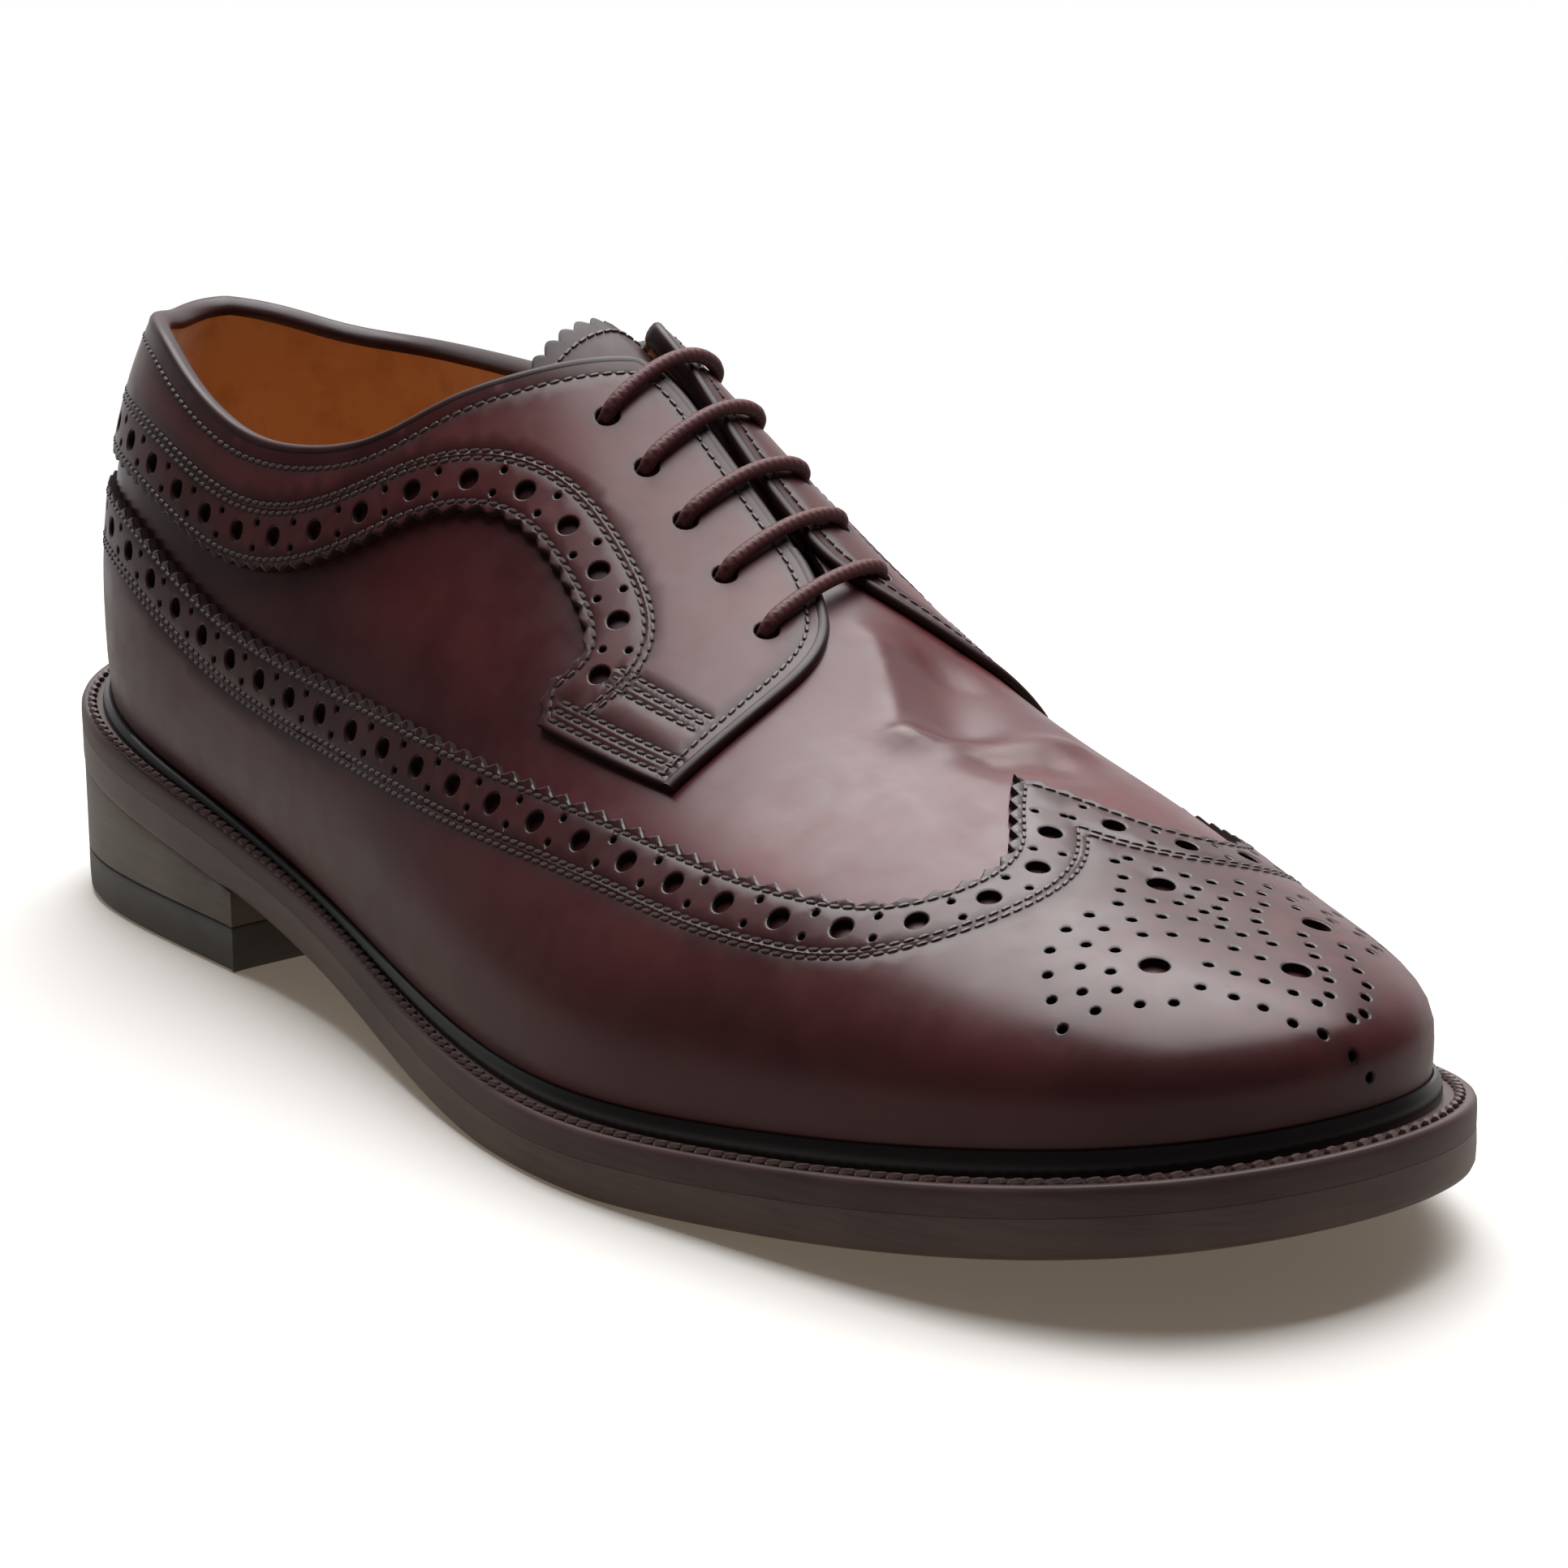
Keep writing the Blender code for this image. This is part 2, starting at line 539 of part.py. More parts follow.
def heel_outline(outline):
    """Part of a sole outline behind the breast, closed by the hollow breast line."""
    order = np.roll(np.arange(len(outline)), len(outline) // 2)
    loop = outline[order]
    back = loop[loop[:, 0] < BREAST_X]
    before = loop[np.flatnonzero(loop[:, 0] < BREAST_X)[0] - 1]
    after = loop[np.flatnonzero(loop[:, 0] < BREAST_X)[-1] + 1]
    corners = []
    for near, far in ((back[0], before), (back[-1], after)):
        share = (BREAST_X - near[0]) / (far[0] - near[0])
        corners.append(near + share * (far - near))
    share = np.linspace(0, 1, 9)[1:-1]
    breast = corners[1] + share[:, None] * (corners[0] - corners[1])
    breast[:, 0] -= BREAST_HOLLOW * 4 * share * (1 - share)
    return np.vstack([corners[:1], back, corners[1:], breast])


def outline_middle():
    """Middle of the sole's outline on the floor, the part's origin."""
    outline = sole_outline(welt_widths())
    middle = (outline.min(axis=0) + outline.max(axis=0)) / 2
    return np.array([*middle, 0.0])


for old in list(bpy.data.objects):
    bpy.data.objects.remove(old)
ORIGIN = outline_middle()
bpy.context.scene.collection.objects.link(bpy.data.objects.new("brogue_derby", None))
add_upper()
add_tongue()
add_laces()
add_welt()
add_bottom()
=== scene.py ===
"""Longwing brogue derby, right shoe: its pieces as they look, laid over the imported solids.

The frame is the solids' own, in metres: +X from heel to toe, +Y to the inner side of the foot, +Z up.
Sizes below are in millimetres on the last, the form that the shoe is made round.
"""

import math

import bmesh
import bpy
import numpy as np
from mathutils import Matrix, Vector, kdtree
from mathutils.geometry import delaunay_2d_cdt


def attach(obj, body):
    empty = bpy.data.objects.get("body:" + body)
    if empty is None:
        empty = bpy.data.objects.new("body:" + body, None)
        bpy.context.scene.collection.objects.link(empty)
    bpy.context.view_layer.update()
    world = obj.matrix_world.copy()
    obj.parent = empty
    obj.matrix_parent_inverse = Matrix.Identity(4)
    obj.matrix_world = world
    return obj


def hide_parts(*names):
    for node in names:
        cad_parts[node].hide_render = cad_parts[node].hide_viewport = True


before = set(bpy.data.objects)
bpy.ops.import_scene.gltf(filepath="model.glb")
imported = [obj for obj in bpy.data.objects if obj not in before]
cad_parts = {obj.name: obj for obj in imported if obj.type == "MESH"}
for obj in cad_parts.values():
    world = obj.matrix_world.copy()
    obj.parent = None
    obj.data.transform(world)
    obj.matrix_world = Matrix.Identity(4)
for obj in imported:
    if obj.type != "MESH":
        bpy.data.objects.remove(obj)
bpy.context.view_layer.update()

# The last: the form that the upper is pulled over. It isn't in the finished shoe, but every piece of
# leather lies on its surface, so the pieces are drawn on it rolled out flat about its ridge, cut there
# and laid back. Stations run from the heel back (0) round the lateral side to the toe tip (10) and home.
MM = 0.001
LAST_COLUMNS = ("ridge_x", "ridge_y", "lateral_x", "lateral_y", "medial_x", "medial_y", "swell", "swell_up",
                "ridge_z", "lateral_pull", "lateral_crown", "medial_pull", "medial_crown", "welt_width")
LAST = {
    "heel_back": (40, 0, 7, 0, 7, 0, 2.0, 18, 118, 0.55, 0.46, 0.55, 0.46, 7.4),
    "heel_quarter": (40, 0, 16, -21.2, 16, 21.8, 0.6, 18, 116.5, 0.58, 0.38, 0.58, 0.38, 7.4),
    "heel_side": (40, 0.5, 38, -32, 38, 31, 1.8, 18, 116, 0.58, 0.60, 0.58, 0.60, 6.0),
    "seat": (75, 3, 75, -34.8, 75, 29, 3.5, 16, 112, 0.50, 0.65, 0.50, 0.65, 5.0),
    "waist": (115, 8, 115, -37.5, 115, 25.5, 4.8, 14, 110, 0.38, 0.50, 0.45, 0.66, 5.0),
    "joint_back": (155, 11, 155, -44.5, 155, 32, 4.0, 12, 85, 0.38, 0.52, 0.50, 0.85, 6.2),
    "ball": (195, 8.5, 195, -49.8, 195, 43.5, 2.1, 10, 62, 0.49, 0.49, 0.55, 0.74, 7.0),
    "toe_back": (222, 5.5, 228, -45.8, 228, 46, 1.7, 9, 53.8, 0.54, 0.55, 0.56, 0.60, 7.3),
    "toe_shoulder": (242, 4, 262.5, -38, 262, 37, 1.1, 9, 48.0, 0.56, 0.52, 0.56, 0.54, 7.7),
    "toe_quarter": (251, 4.3, 290, -22.5, 286.5, 25, 0.6, 9, 45.6, 0.57, 0.53, 0.57, 0.53, 7.7),
    "toe_tip": (253, 4.5, 297, 4, 297, 4, 1.2, 9, 45.0, 0.57, 0.53, 0.57, 0.53, 7.7),
}
TOE_TIP = len(LAST) - 1
LOOP = 2 * TOE_TIP
KNEE = 0.35
TOE_FALL = 0.24
FEATHER = ((0, 37.0), (38, 30.4), (75, 25.0), (115, 18.0), (155, 12.2), (195, 10.0), (228, 11.6),
           (262, 15.5), (306, 22.3))


def spline(knots, rows):
    """Natural cubic spline through rows at rising knots, as a function of the knot value."""
    x = np.asarray(knots, float)
    y = np.asarray(rows, float).reshape(len(x), -1)
    h = np.diff(x)
    matrix = np.eye(len(x))
    right = np.zeros_like(y)
    for i in range(1, len(x) - 1):
        matrix[i, i - 1:i + 2] = h[i - 1], 2 * (h[i - 1] + h[i]), h[i]
        right[i] = 6 * ((y[i + 1] - y[i]) / h[i] - (y[i] - y[i - 1]) / h[i - 1])
    bend = np.linalg.solve(matrix, right)

    def value(at):
        at = np.asarray(at, float)
        i = np.clip(np.searchsorted(x, at) - 1, 0, len(x) - 2)
        step = h[i][..., None]
        after = (at - x[i])[..., None]
        before = (x[i + 1] - at)[..., None]
        curved = (bend[i] * before ** 3 + bend[i + 1] * after ** 3) / (6 * step)
        low = (y[i] / step - bend[i] * step / 6) * before
        high = (y[i + 1] / step - bend[i + 1] * step / 6) * after
        return curved + low + high

    return value


def station_loop():
    """Spline of the last's rows round the shoe: lateral from heel to toe, then medial back to the heel."""
    table = {name: [row[k] for row in LAST.values()] for k, name in enumerate(LAST_COLUMNS)}
    sides = {}
    for side in ("lateral", "medial"):
        names = (side + "_x", side + "_y", "ridge_x", "ridge_y", "swell", "swell_up", "ridge_z",
                 side + "_pull", side + "_crown", "welt_width")
        sides[side] = np.array([table[name] for name in names], float).T
    loop = np.vstack([sides["lateral"], sides["medial"][-2:0:-1]])
    rounds = np.vstack([loop, loop, loop])
    return spline(np.arange(len(rounds)) - LOOP, rounds)


FEATHER_SPLINE = spline([x for x, _ in FEATHER], [z for _, z in FEATHER])
STATIONS = station_loop()


def feather_height(x):
    """Height over the floor of the feather edge, where the upper meets the sole."""
    return FEATHER_SPLINE(x)[..., 0]


def ridge_and_heading(station):
    """Where the sections meet the ridge in plan, which way they run out from it, and how far to the edge."""
    row = STATIONS(np.mod(station, LOOP))
    reach = np.linalg.norm(row[:, :2] - row[:, 2:4], axis=1)
    return row[:, 2:4], (row[:, :2] - row[:, 2:4]) / reach[:, None], reach


def section(station, share):
    """Radius from the ridge and height up the sections: shares 0 to 1 swell out, 1 to 2 rise to the ridge."""
    row = STATIONS(np.mod(station, LOOP))
    heading, reach = ridge_and_heading(station)[1:]
    swell, swell_up, ridge_z, side_pull, crown_pull = (column[:, None] for column in row.T[4:9])
    edge_z = feather_height(row[:, 0])[:, None]
    widest = reach[:, None] + swell
    widest_z = edge_z + swell_up
    a = np.clip(share, 0, 1)
    foot_r = widest - (1 - a) ** 2 * swell
    foot_z = edge_z + 2 * a * (1 - a) * KNEE * swell_up + a ** 2 * swell_up
    b = np.clip(share - 1, 0, 1)
    inward = 3 * (1 - b) * b ** 2
    fall = TOE_FALL * np.clip(heading[:, :1], 0, 1) * crown_pull * widest
    crown_r = widest * ((1 - b) ** 3 + 3 * (1 - b) ** 2 * b + inward * crown_pull)
    crown_z = widest_z + (ridge_z - widest_z) * (3 * (1 - b) ** 2 * b * side_pull + inward + b ** 3)
    return np.where(share < 1, foot_r, crown_r), np.where(share < 1, foot_z, crown_z - inward * fall)


SHARES = np.linspace(0, 2, 61)


def girths(station):
    """Girth up each section from the feather edge, at the shares above."""
    radius, height = section(station, np.broadcast_to(SHARES, (len(station), len(SHARES))))
    steps = np.hypot(np.diff(radius, axis=1), np.diff(height, axis=1))
    return np.hstack([np.zeros((len(station), 1)), np.cumsum(steps, axis=1)])


def on_last(station, girth):
    """Points of the last at stations and girths."""
    table = girths(station)
    k = np.clip((table <= girth[:, None]).sum(axis=1) - 1, 0, len(SHARES) - 2)
    here = np.arange(len(station))
    part = (girth - table[here, k]) / (table[here, k + 1] - table[here, k])
    share = SHARES[k] + part * (SHARES[1] - SHARES[0])
    radius, height = section(station, np.clip(share, 0, 2)[:, None])
    ridge, heading, _ = ridge_and_heading(station)
    return np.column_stack([ridge + radius * heading, height])


def roll_out(station, girth):
    """Flat points of the last's surface rolled out about its ridge."""
    ridge, heading, _ = ridge_and_heading(station)
    return ridge + (girths(station)[:, -1] - girth)[:, None] * heading


def spread_of_starts(step=0.05, lowest=0.02, rows=40):
    """Finder of the station nearest to a flat point."""
    station, share = np.meshgrid(np.arange(0, LOOP, step), np.linspace(lowest, 1, rows), indexing="ij")
    station = station.ravel()
    flat = roll_out(station, girths(station)[:, -1] * (1 - share.ravel()))
    finder = kdtree.KDTree(len(flat))
    for i, (x, y) in enumerate(flat.tolist()):
        finder.insert((x, y, 0.0), i)
    finder.balance()
    return finder, station


FINDER, STARTS = spread_of_starts()


def roll_back(flat):
    """Stations and girths of flat points."""

    def aside(station):
        ridge, heading, _ = ridge_and_heading(station)
        away = flat - ridge
        return heading[:, 0] * away[:, 1] - heading[:, 1] * away[:, 0]

    def settle(station, rounds, small=1e-3, stride=0.3):
        for _ in range(rounds):
            miss = aside(station)
            slope = (aside(station + small) - miss) / small
            slope = np.where(np.abs(slope) < small, small, slope)
            station = station - np.clip(miss / slope, -stride, stride)
        return station

    def reach(station):
        ridge, heading, _ = ridge_and_heading(station)
        return ((flat - ridge) * heading).sum(axis=1)

    station = settle(np.array([STARTS[FINDER.find((x, y, 0.0))[1]] for x, y in flat.tolist()]), rounds=6)
    crossed = reach(station) < 0
    station = np.where(crossed, settle(np.where(crossed, LOOP - station, station), rounds=3), station)
    full = girths(station)[:, -1]
    return station, np.clip(full - reach(station), 0, full)


def surface(flat):
    """Points of the last under flat points."""
    return on_last(*roll_back(flat))


def unit(vectors):
    """Vectors made one long."""
    return vectors / np.maximum(np.linalg.norm(vectors, axis=1), 1e-9)[:, None]


def frames(flat, near=0.4):
    """Points of the last, outward normals, and how the points move with each flat direction."""
    along_x, along_y = ((surface(flat + step) - surface(flat - step)) / (2 * near)
                        for step in near * np.eye(2))
    return surface(flat), unit(np.cross(along_x, along_y)), along_x, along_y


def raised(along_x, along_y, products):
    """Flat vectors from their products with the two flat directions, on the surface's own measure."""
    a, b, c = ((p * q).sum(axis=1) for p, q in ((along_x, along_x), (along_x, along_y), (along_y, along_y)))
    u, v = products
    return np.column_stack([c * u - b * v, a * v - b * u]) / (a * c - b * b)[:, None]


def flat_step(along_x, along_y, move):
    """Flat steps that make given moves over the surface."""
    return raised(along_x, along_y, ((move * along_x).sum(axis=1), (move * along_y).sum(axis=1)))


def lengths(points):
    """Length along a line at each of its points."""
    return np.concatenate([[0], np.cumsum(np.linalg.norm(np.diff(points, axis=0), axis=1))])


def even(line, step):
    """Flat line in even steps over the last's surface."""
    length = lengths(surface(line))
    count = max(2, int(round(length[-1] / step)) + 1)
    at = np.linspace(0, length[-1], count)
    return np.column_stack([np.interp(at, length, line[:, k]) for k in range(2)])


def draw(rows, side, step=1.0, dense=40):
    """Pattern line through (station, girth) rows of one side; girths below zero count down from the ridge."""
    station, girth = np.array(rows, float).T
    if side == "medial":
        station = LOOP - station
    girth = np.where(np.signbit(girth), girths(station)[:, -1] + girth, girth)
    knots = lengths(roll_out(station, girth))
    at = np.linspace(0, knots[-1], dense * len(rows))
    station, girth = spline(knots, np.column_stack([station, girth]))(at).T
    return even(roll_out(station, np.clip(girth, 0, girths(station)[:, -1])), step)


def beside(line, distance, stride=2.5):
    """Flat line moved over the surface, to the right of its run where the distance is positive."""
    distance = np.broadcast_to(distance, len(line))
    count = max(1, int(math.ceil(np.abs(distance).max() / stride)))
    for _ in range(count):
        point, normal, along_x, along_y = frames(line)
        side = unit(np.cross(np.gradient(point, axis=0), normal))
        line = line + flat_step(along_x, along_y, side * distance[:, None] / count)
    return line


def chain(*lines):
    """Lines joined end to end, each shared end kept once."""
    return np.vstack([lines[0]] + [line[1:] for line in lines[1:]])


# Vamp and quarters: the burgundy calf that covers the whole last, pulled down over it and turned under
# at the feather edge. Worn-in creases cross the vamp behind the toe, and its top line is the shoe's mouth.
LEATHER = 1.2
PANEL_STEP = 2.4
SEAM = 0.02
THROAT_END = {"lateral": (5.4, -1.8), "medial": (5.3, -1.9)}
COLLAR = {
    "lateral": ((SEAM, 64), (1, 65.5), (2, 68.7), (2.4, 66.3), (3.05, 62.9), (3.5, 67), (3.8, 73.5),
                (4.05, 84.5), (4.26, -19), (4.46, -4.0)),
    "medial": ((SEAM, 64), (0.6, 62), (1.3, 59.7), (2.1, 61.5), (2.8, 66), (3.4, 72.5), (3.75, 80),
               (4.04, -15), (4.26, -5.2)),
}
THROAT = {
    "lateral": ((4.46, -4.0), (4.58, -2.0), (4.8, -1.6), (5.1, -1.6), THROAT_END["lateral"]),
    "medial": ((4.26, -5.2), (4.36, -3.8), (4.52, -2.9), (4.72, -1.8), (4.92, -1.1), (5.1, -1.2),
               THROAT_END["medial"]),
}
THROAT_FOOT = {
    "lateral": (THROAT_END["lateral"], (5.47, -1.2), (5.5, -0.0)),
    "medial": (THROAT_END["medial"], (5.44, -1.3), (5.5, -0.0)),
}
# Each crease: its run as (station, distance from the ridge, lateral below zero), its rise and half width
CREASES = (
    (((5.80, 0.5), (6.08, -3.3), (6.44, -7.8)), 1.1, 4.2),
    (((6.02, 10.0), (6.40, 3.5)), -2.5, 7.6),
    (((6.46, -7.0), (6.60, -1.7), (6.68, 4.7), (6.66, 18.0)), 0.9, 3.2),
    (((6.88, 1.7), (6.94, 10.3)), -1.2, 4.5),
    (((7.14, -9.0), (7.48, -14.0)), -0.4, 4.0),
)
TURN_IN = 10
OUTLINE_POINTS = 400


def srgb(code):
    """Linear colour of an sRGB hex value."""
    parts = [int(code[i:i + 2], 16) / 255 for i in (1, 3, 5)]
    return tuple(p / 12.92 if p <= 0.04045 else ((p + 0.055) / 1.055) ** 2.4 for p in parts) + (1.0,)


def add_node(tree, kind, settings=None, inputs=None):
    """Node with its settings; an input is a value, or a (node, output) pair that is linked to it."""
    node = tree.nodes.new(kind)
    for name, value in (settings or {}).items():
        setattr(node, name, value)
    for name, value in (inputs or {}).items():
        if isinstance(value, tuple) and isinstance(value[0], bpy.types.Node):
            tree.links.new(value[0].outputs[value[1]], node.inputs[name])
        else:
            node.inputs[name].default_value = value
    return node


def new_material(name):
    """Empty node material with its output, and the tree to fill."""
    material = bpy.data.materials.new(name)
    material.use_nodes = True
    material.node_tree.nodes.clear()
    return material, material.node_tree


def outward(plan):
    """Directions out of a closed plan loop that runs with its inside on the left."""
    run = np.roll(plan, -1, axis=0) - np.roll(plan, 1, axis=0)
    return unit(np.column_stack([run[:, 1], -run[:, 0]]))


def around(count):
    """Even stations round the shoe, lateral side first."""
    return np.arange(count) * LOOP / count


def sole_outline(widths, count):
    """Plan of the feather edge moved outward by the given widths."""
    edge = STATIONS(around(count))[:, :2]
    return edge + np.broadcast_to(widths, count)[:, None] * outward(edge)


SOLE_EDGE = sole_outline(STATIONS(around(OUTLINE_POINTS))[:, -1], OUTLINE_POINTS)
ORIGIN = np.array([*((SOLE_EDGE.min(axis=0) + SOLE_EDGE.max(axis=0)) / 2), 0.0])


def burnished_calf(name, deep, warm, shade, roughness):
    """Aniline calf polished with dark cream: glossy and mottled, darkened towards near black by its darkening
    attribute: dark cream at edges and seams, painted shade in holes, stitch grooves and under overlays.
    """
    material, tree = new_material(name)
    place = add_node(tree, "ShaderNodeTexCoord")
    cloud = add_node(tree, "ShaderNodeTexNoise", {}, {
        "Vector": (place, "Object"), "Scale": 1 / (38 * MM), "Detail": 3.0, "Roughness": 0.55})
    fleck = add_node(tree, "ShaderNodeTexNoise", {}, {
        "Vector": (place, "Object"), "Scale": 1 / (7 * MM), "Detail": 4.0, "Roughness": 0.6})
    mottle = add_node(tree, "ShaderNodeMath", {"operation": "MULTIPLY_ADD"}, {
        0: (fleck, "Fac"), 1: 0.35, 2: (cloud, "Fac")})
    patch = add_node(tree, "ShaderNodeMapRange", {"interpolation_type": "SMOOTHSTEP"}, {
        "Value": (mottle, 0), "From Min": 0.50, "From Max": 0.86})
    tone = add_node(tree, "ShaderNodeMix", {"data_type": "RGBA"}, {
        0: (patch, 0), 6: srgb(deep), 7: srgb(warm)})
    # Darkening read from the points: partly dark cream at edges and seams, partly painted shade in holes,
    # grooves and under overlays
    cream_and_shade_mask = add_node(tree, "ShaderNodeAttribute", {"attribute_name": "burnish"})
    darken = add_node(tree, "ShaderNodeMapRange", {}, {
        "Value": (cream_and_shade_mask, "Fac"), "From Min": 0.05, "From Max": 0.95, "To Max": 0.85})
    colour = add_node(tree, "ShaderNodeMix", {"data_type": "RGBA"}, {
        0: (darken, 0), 6: (tone, 2), 7: srgb(shade)})
    # Hair cells of calf are about 0.2 mm apart; 0.7 mm is the finest that shows here
    grain = add_node(tree, "ShaderNodeTexVoronoi", {"feature": "SMOOTH_F1"}, {
        "Vector": (place, "Object"), "Scale": 1 / (0.7 * MM), "Smoothness": 0.6})
    pull = add_node(tree, "ShaderNodeTexNoise", {}, {
        "Vector": (place, "Object"), "Scale": 1 / (5 * MM), "Detail": 3.0})
    dents = add_node(tree, "ShaderNodeBump", {}, {
        "Strength": 0.04, "Distance": 0.5 * MM, "Height": (pull, "Fac")})
    pores = add_node(tree, "ShaderNodeBump", {}, {
        "Strength": 0.02, "Distance": 0.15 * MM, "Height": (grain, "Distance"), "Normal": (dents, 0)})
    polish = add_node(tree, "ShaderNodeMapRange", {}, {
        "Value": (fleck, "Fac"), "From Min": 0.3, "From Max": 0.7, "To Min": roughness - 0.05,
        "To Max": roughness + 0.06})
    matt = add_node(tree, "ShaderNodeMapRange", {}, {"Value": (cream_and_shade_mask, "Fac"), "From Min": 0.95, "To Max": 0.5})
    polish = add_node(tree, "ShaderNodeMath", {"operation": "ADD"}, {0: (polish, 0), 1: (matt, 0)})
    shader = add_node(tree, "ShaderNodeBsdfPrincipled", {}, {
        "Base Color": (colour, 2), "Roughness": (polish, 0), "Normal": (pores, 0), "IOR": 1.5,
        "Specular IOR Level": 0.38})
    add_node(tree, "ShaderNodeOutputMaterial", {}, {"Surface": (shader, 0)})
    return material


def add_piece(name, points, faces, material, nodes=(), attributes=None, crease=40):
    """Piece of the shoe from points in millimetres on the last, closed and facing outward."""
    mesh = bpy.data.meshes.new(name)
    mesh.from_pydata(((np.asarray(points) - ORIGIN) * MM).tolist(), [], faces)
    for label, values in (attributes or {}).items():
        layer = mesh.attributes.new(label, "FLOAT", "POINT")
        layer.data.foreach_set("value", np.asarray(values, np.float32))
    work = bmesh.new()
    work.from_mesh(mesh)
    bmesh.ops.recalc_face_normals(work, faces=work.faces[:])
    work.to_mesh(mesh)
    work.free()
    mesh.shade_smooth()
    mesh.set_sharp_from_angle(angle=math.radians(crease))
    mesh.materials.append(material)
    piece = bpy.data.objects.new(name, mesh)
    bpy.context.scene.collection.objects.link(piece)
    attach(piece, "root")
    if nodes:
        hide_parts(*nodes)
    return piece


def inside(points, polygon, block=4000):
    """Which flat points lie inside a closed polygon."""
    ax, ay = polygon[:, 0], polygon[:, 1]
    bx, by = np.roll(ax, -1), np.roll(ay, -1)
    run = np.where(by == ay, 1.0, by - ay)
    found = []
    for start in range(0, len(points), block):
        x, y = points[start:start + block, 0, None], points[start:start + block, 1, None]
        crosses = (ay > y) != (by > y)
        found.append((crosses & (x < ax + (y - ay) * (bx - ax) / run)).sum(axis=1) % 2 == 1)
    return np.concatenate(found)


def distance_to(points, targets):
    """Distance of each point to the nearest target."""
    tree = kdtree.KDTree(len(targets))
    for i, target in enumerate(targets.tolist()):
        tree.insert(target, i)
    tree.balance()
    return np.array([tree.find(point)[2] for point in points.tolist()])


def fill_points(step, spread=800, first=0.8, rise=0.87, clear=0.3):
    """Even spread of flat points over the whole last, row by row up from the feather edge."""
    station = np.linspace(0, LOOP, spread + 1)
    full = girths(station)[:, -1]
    rows = []
    for k, level in enumerate(np.arange(first * step, full.max(), rise * step)):
        length = lengths(on_last(station, np.minimum(level, full)))
        at = np.interp(np.arange(0.5 * (k % 2), length[-1] / step - 0.5) * step, length, station)
        at = at[level < np.interp(at, station, full) - clear * step]
        rows.append(roll_out(at, np.full(len(at), level)))
    return np.vstack(rows)


def across_ridge(station, distance):
    """Flat points by station and distance from the ridge: lateral below zero, medial above."""
    station, distance = np.asarray(station, float), np.asarray(distance, float)
    sides = np.where(distance < 0, station, LOOP - station)
    return roll_out(sides, girths(sides)[:, -1] - np.abs(distance))


def creased(flat):
    """Rise of the worn-in creases at flat points, below zero in their troughs."""
    rise = np.zeros(len(flat))
    for knots, high, wide in CREASES:
        line = across_ridge(*np.array(knots).T)
        away = np.full(len(flat), np.inf)
        for start, end in zip(line[:-1], line[1:]):
            run = end - start
            share = np.clip(((flat - start) @ run) / (run @ run), 0, 1)
            away = np.minimum(away, np.linalg.norm(flat - start - share[:, None] * run, axis=1))
        rise += high * np.exp(-(away / wide) ** 2)
    return rise


def lay(flat, height, near=0.4):
    """Points and normals of the shoe at heights over the last, creases included."""
    point, normal, along_x, along_y = frames(flat)
    lift = normal.copy()
    lift[:, 2] *= np.clip(roll_back(flat)[1] / TURN_IN, 0, 1)
    slopes = [(creased(flat + step) - creased(flat - step)) / (2 * near) for step in near * np.eye(2)]
    tilt = raised(along_x, along_y, slopes)
    normal = unit(normal - tilt[:, :1] * along_x - tilt[:, 1:] * along_y)
    return point + (height + creased(flat))[:, None] * unit(lift), normal


def rings(centres, radii, sides):
    """Flat circles of real radii about flat centres."""
    _, normal, along_x, along_y = frames(centres)
    first = unit(along_x)
    second = np.cross(normal, first)
    found = []
    for turn in np.arange(sides) * 2 * math.pi / sides:
        move = np.asarray(radii)[:, None] * (math.cos(turn) * first + math.sin(turn) * second)
        found.append(centres + flat_step(along_x, along_y, move))
    return np.stack(found, axis=1)


EDGE_ROUND = 0.22
EDGE_BAND = 0.4
HOLE_ROUND = 0.25
HOLE_COLLAR = 0.35
ROW_STEP = 1.0
ROW_SUNK = 0.2
ROW_HALF = 0.7
ROW_SHOULDER = 0.02
# How near the soft points may come to a cut, and the filling points to any other as a share of their step
SOFT_CLEAR = 0.2
FILL_CLEAR = 0.55
HOLE_CLEAR = 0.97
# How far the darkening spreads from shown edges, stitch rows, holes and painted shade lines: dark cream at
# the edges, dark cream and painted shade in the stitch grooves, painted shade round the holes and beside the
# shade lines
CREAM_AND_SHADE_REACH = (0.9, 1.2, 0.3, 4.0)
SHEET_CREASE = 24


def cream_and_shade_at(flat, groups):
    """Darkening at flat points, dark cream and painted shade, which fades out from each group of lines over
    its own reach.
    """
    burnish = np.zeros(len(flat))
    for lines, reach in zip(groups, CREAM_AND_SHADE_REACH):
        lines = [line for line in lines if len(line)]
        if lines:
            away = distance_to(surface(flat), surface(np.vstack(lines)))
            burnish = np.maximum(burnish, np.exp(-away / reach))
    return burnish


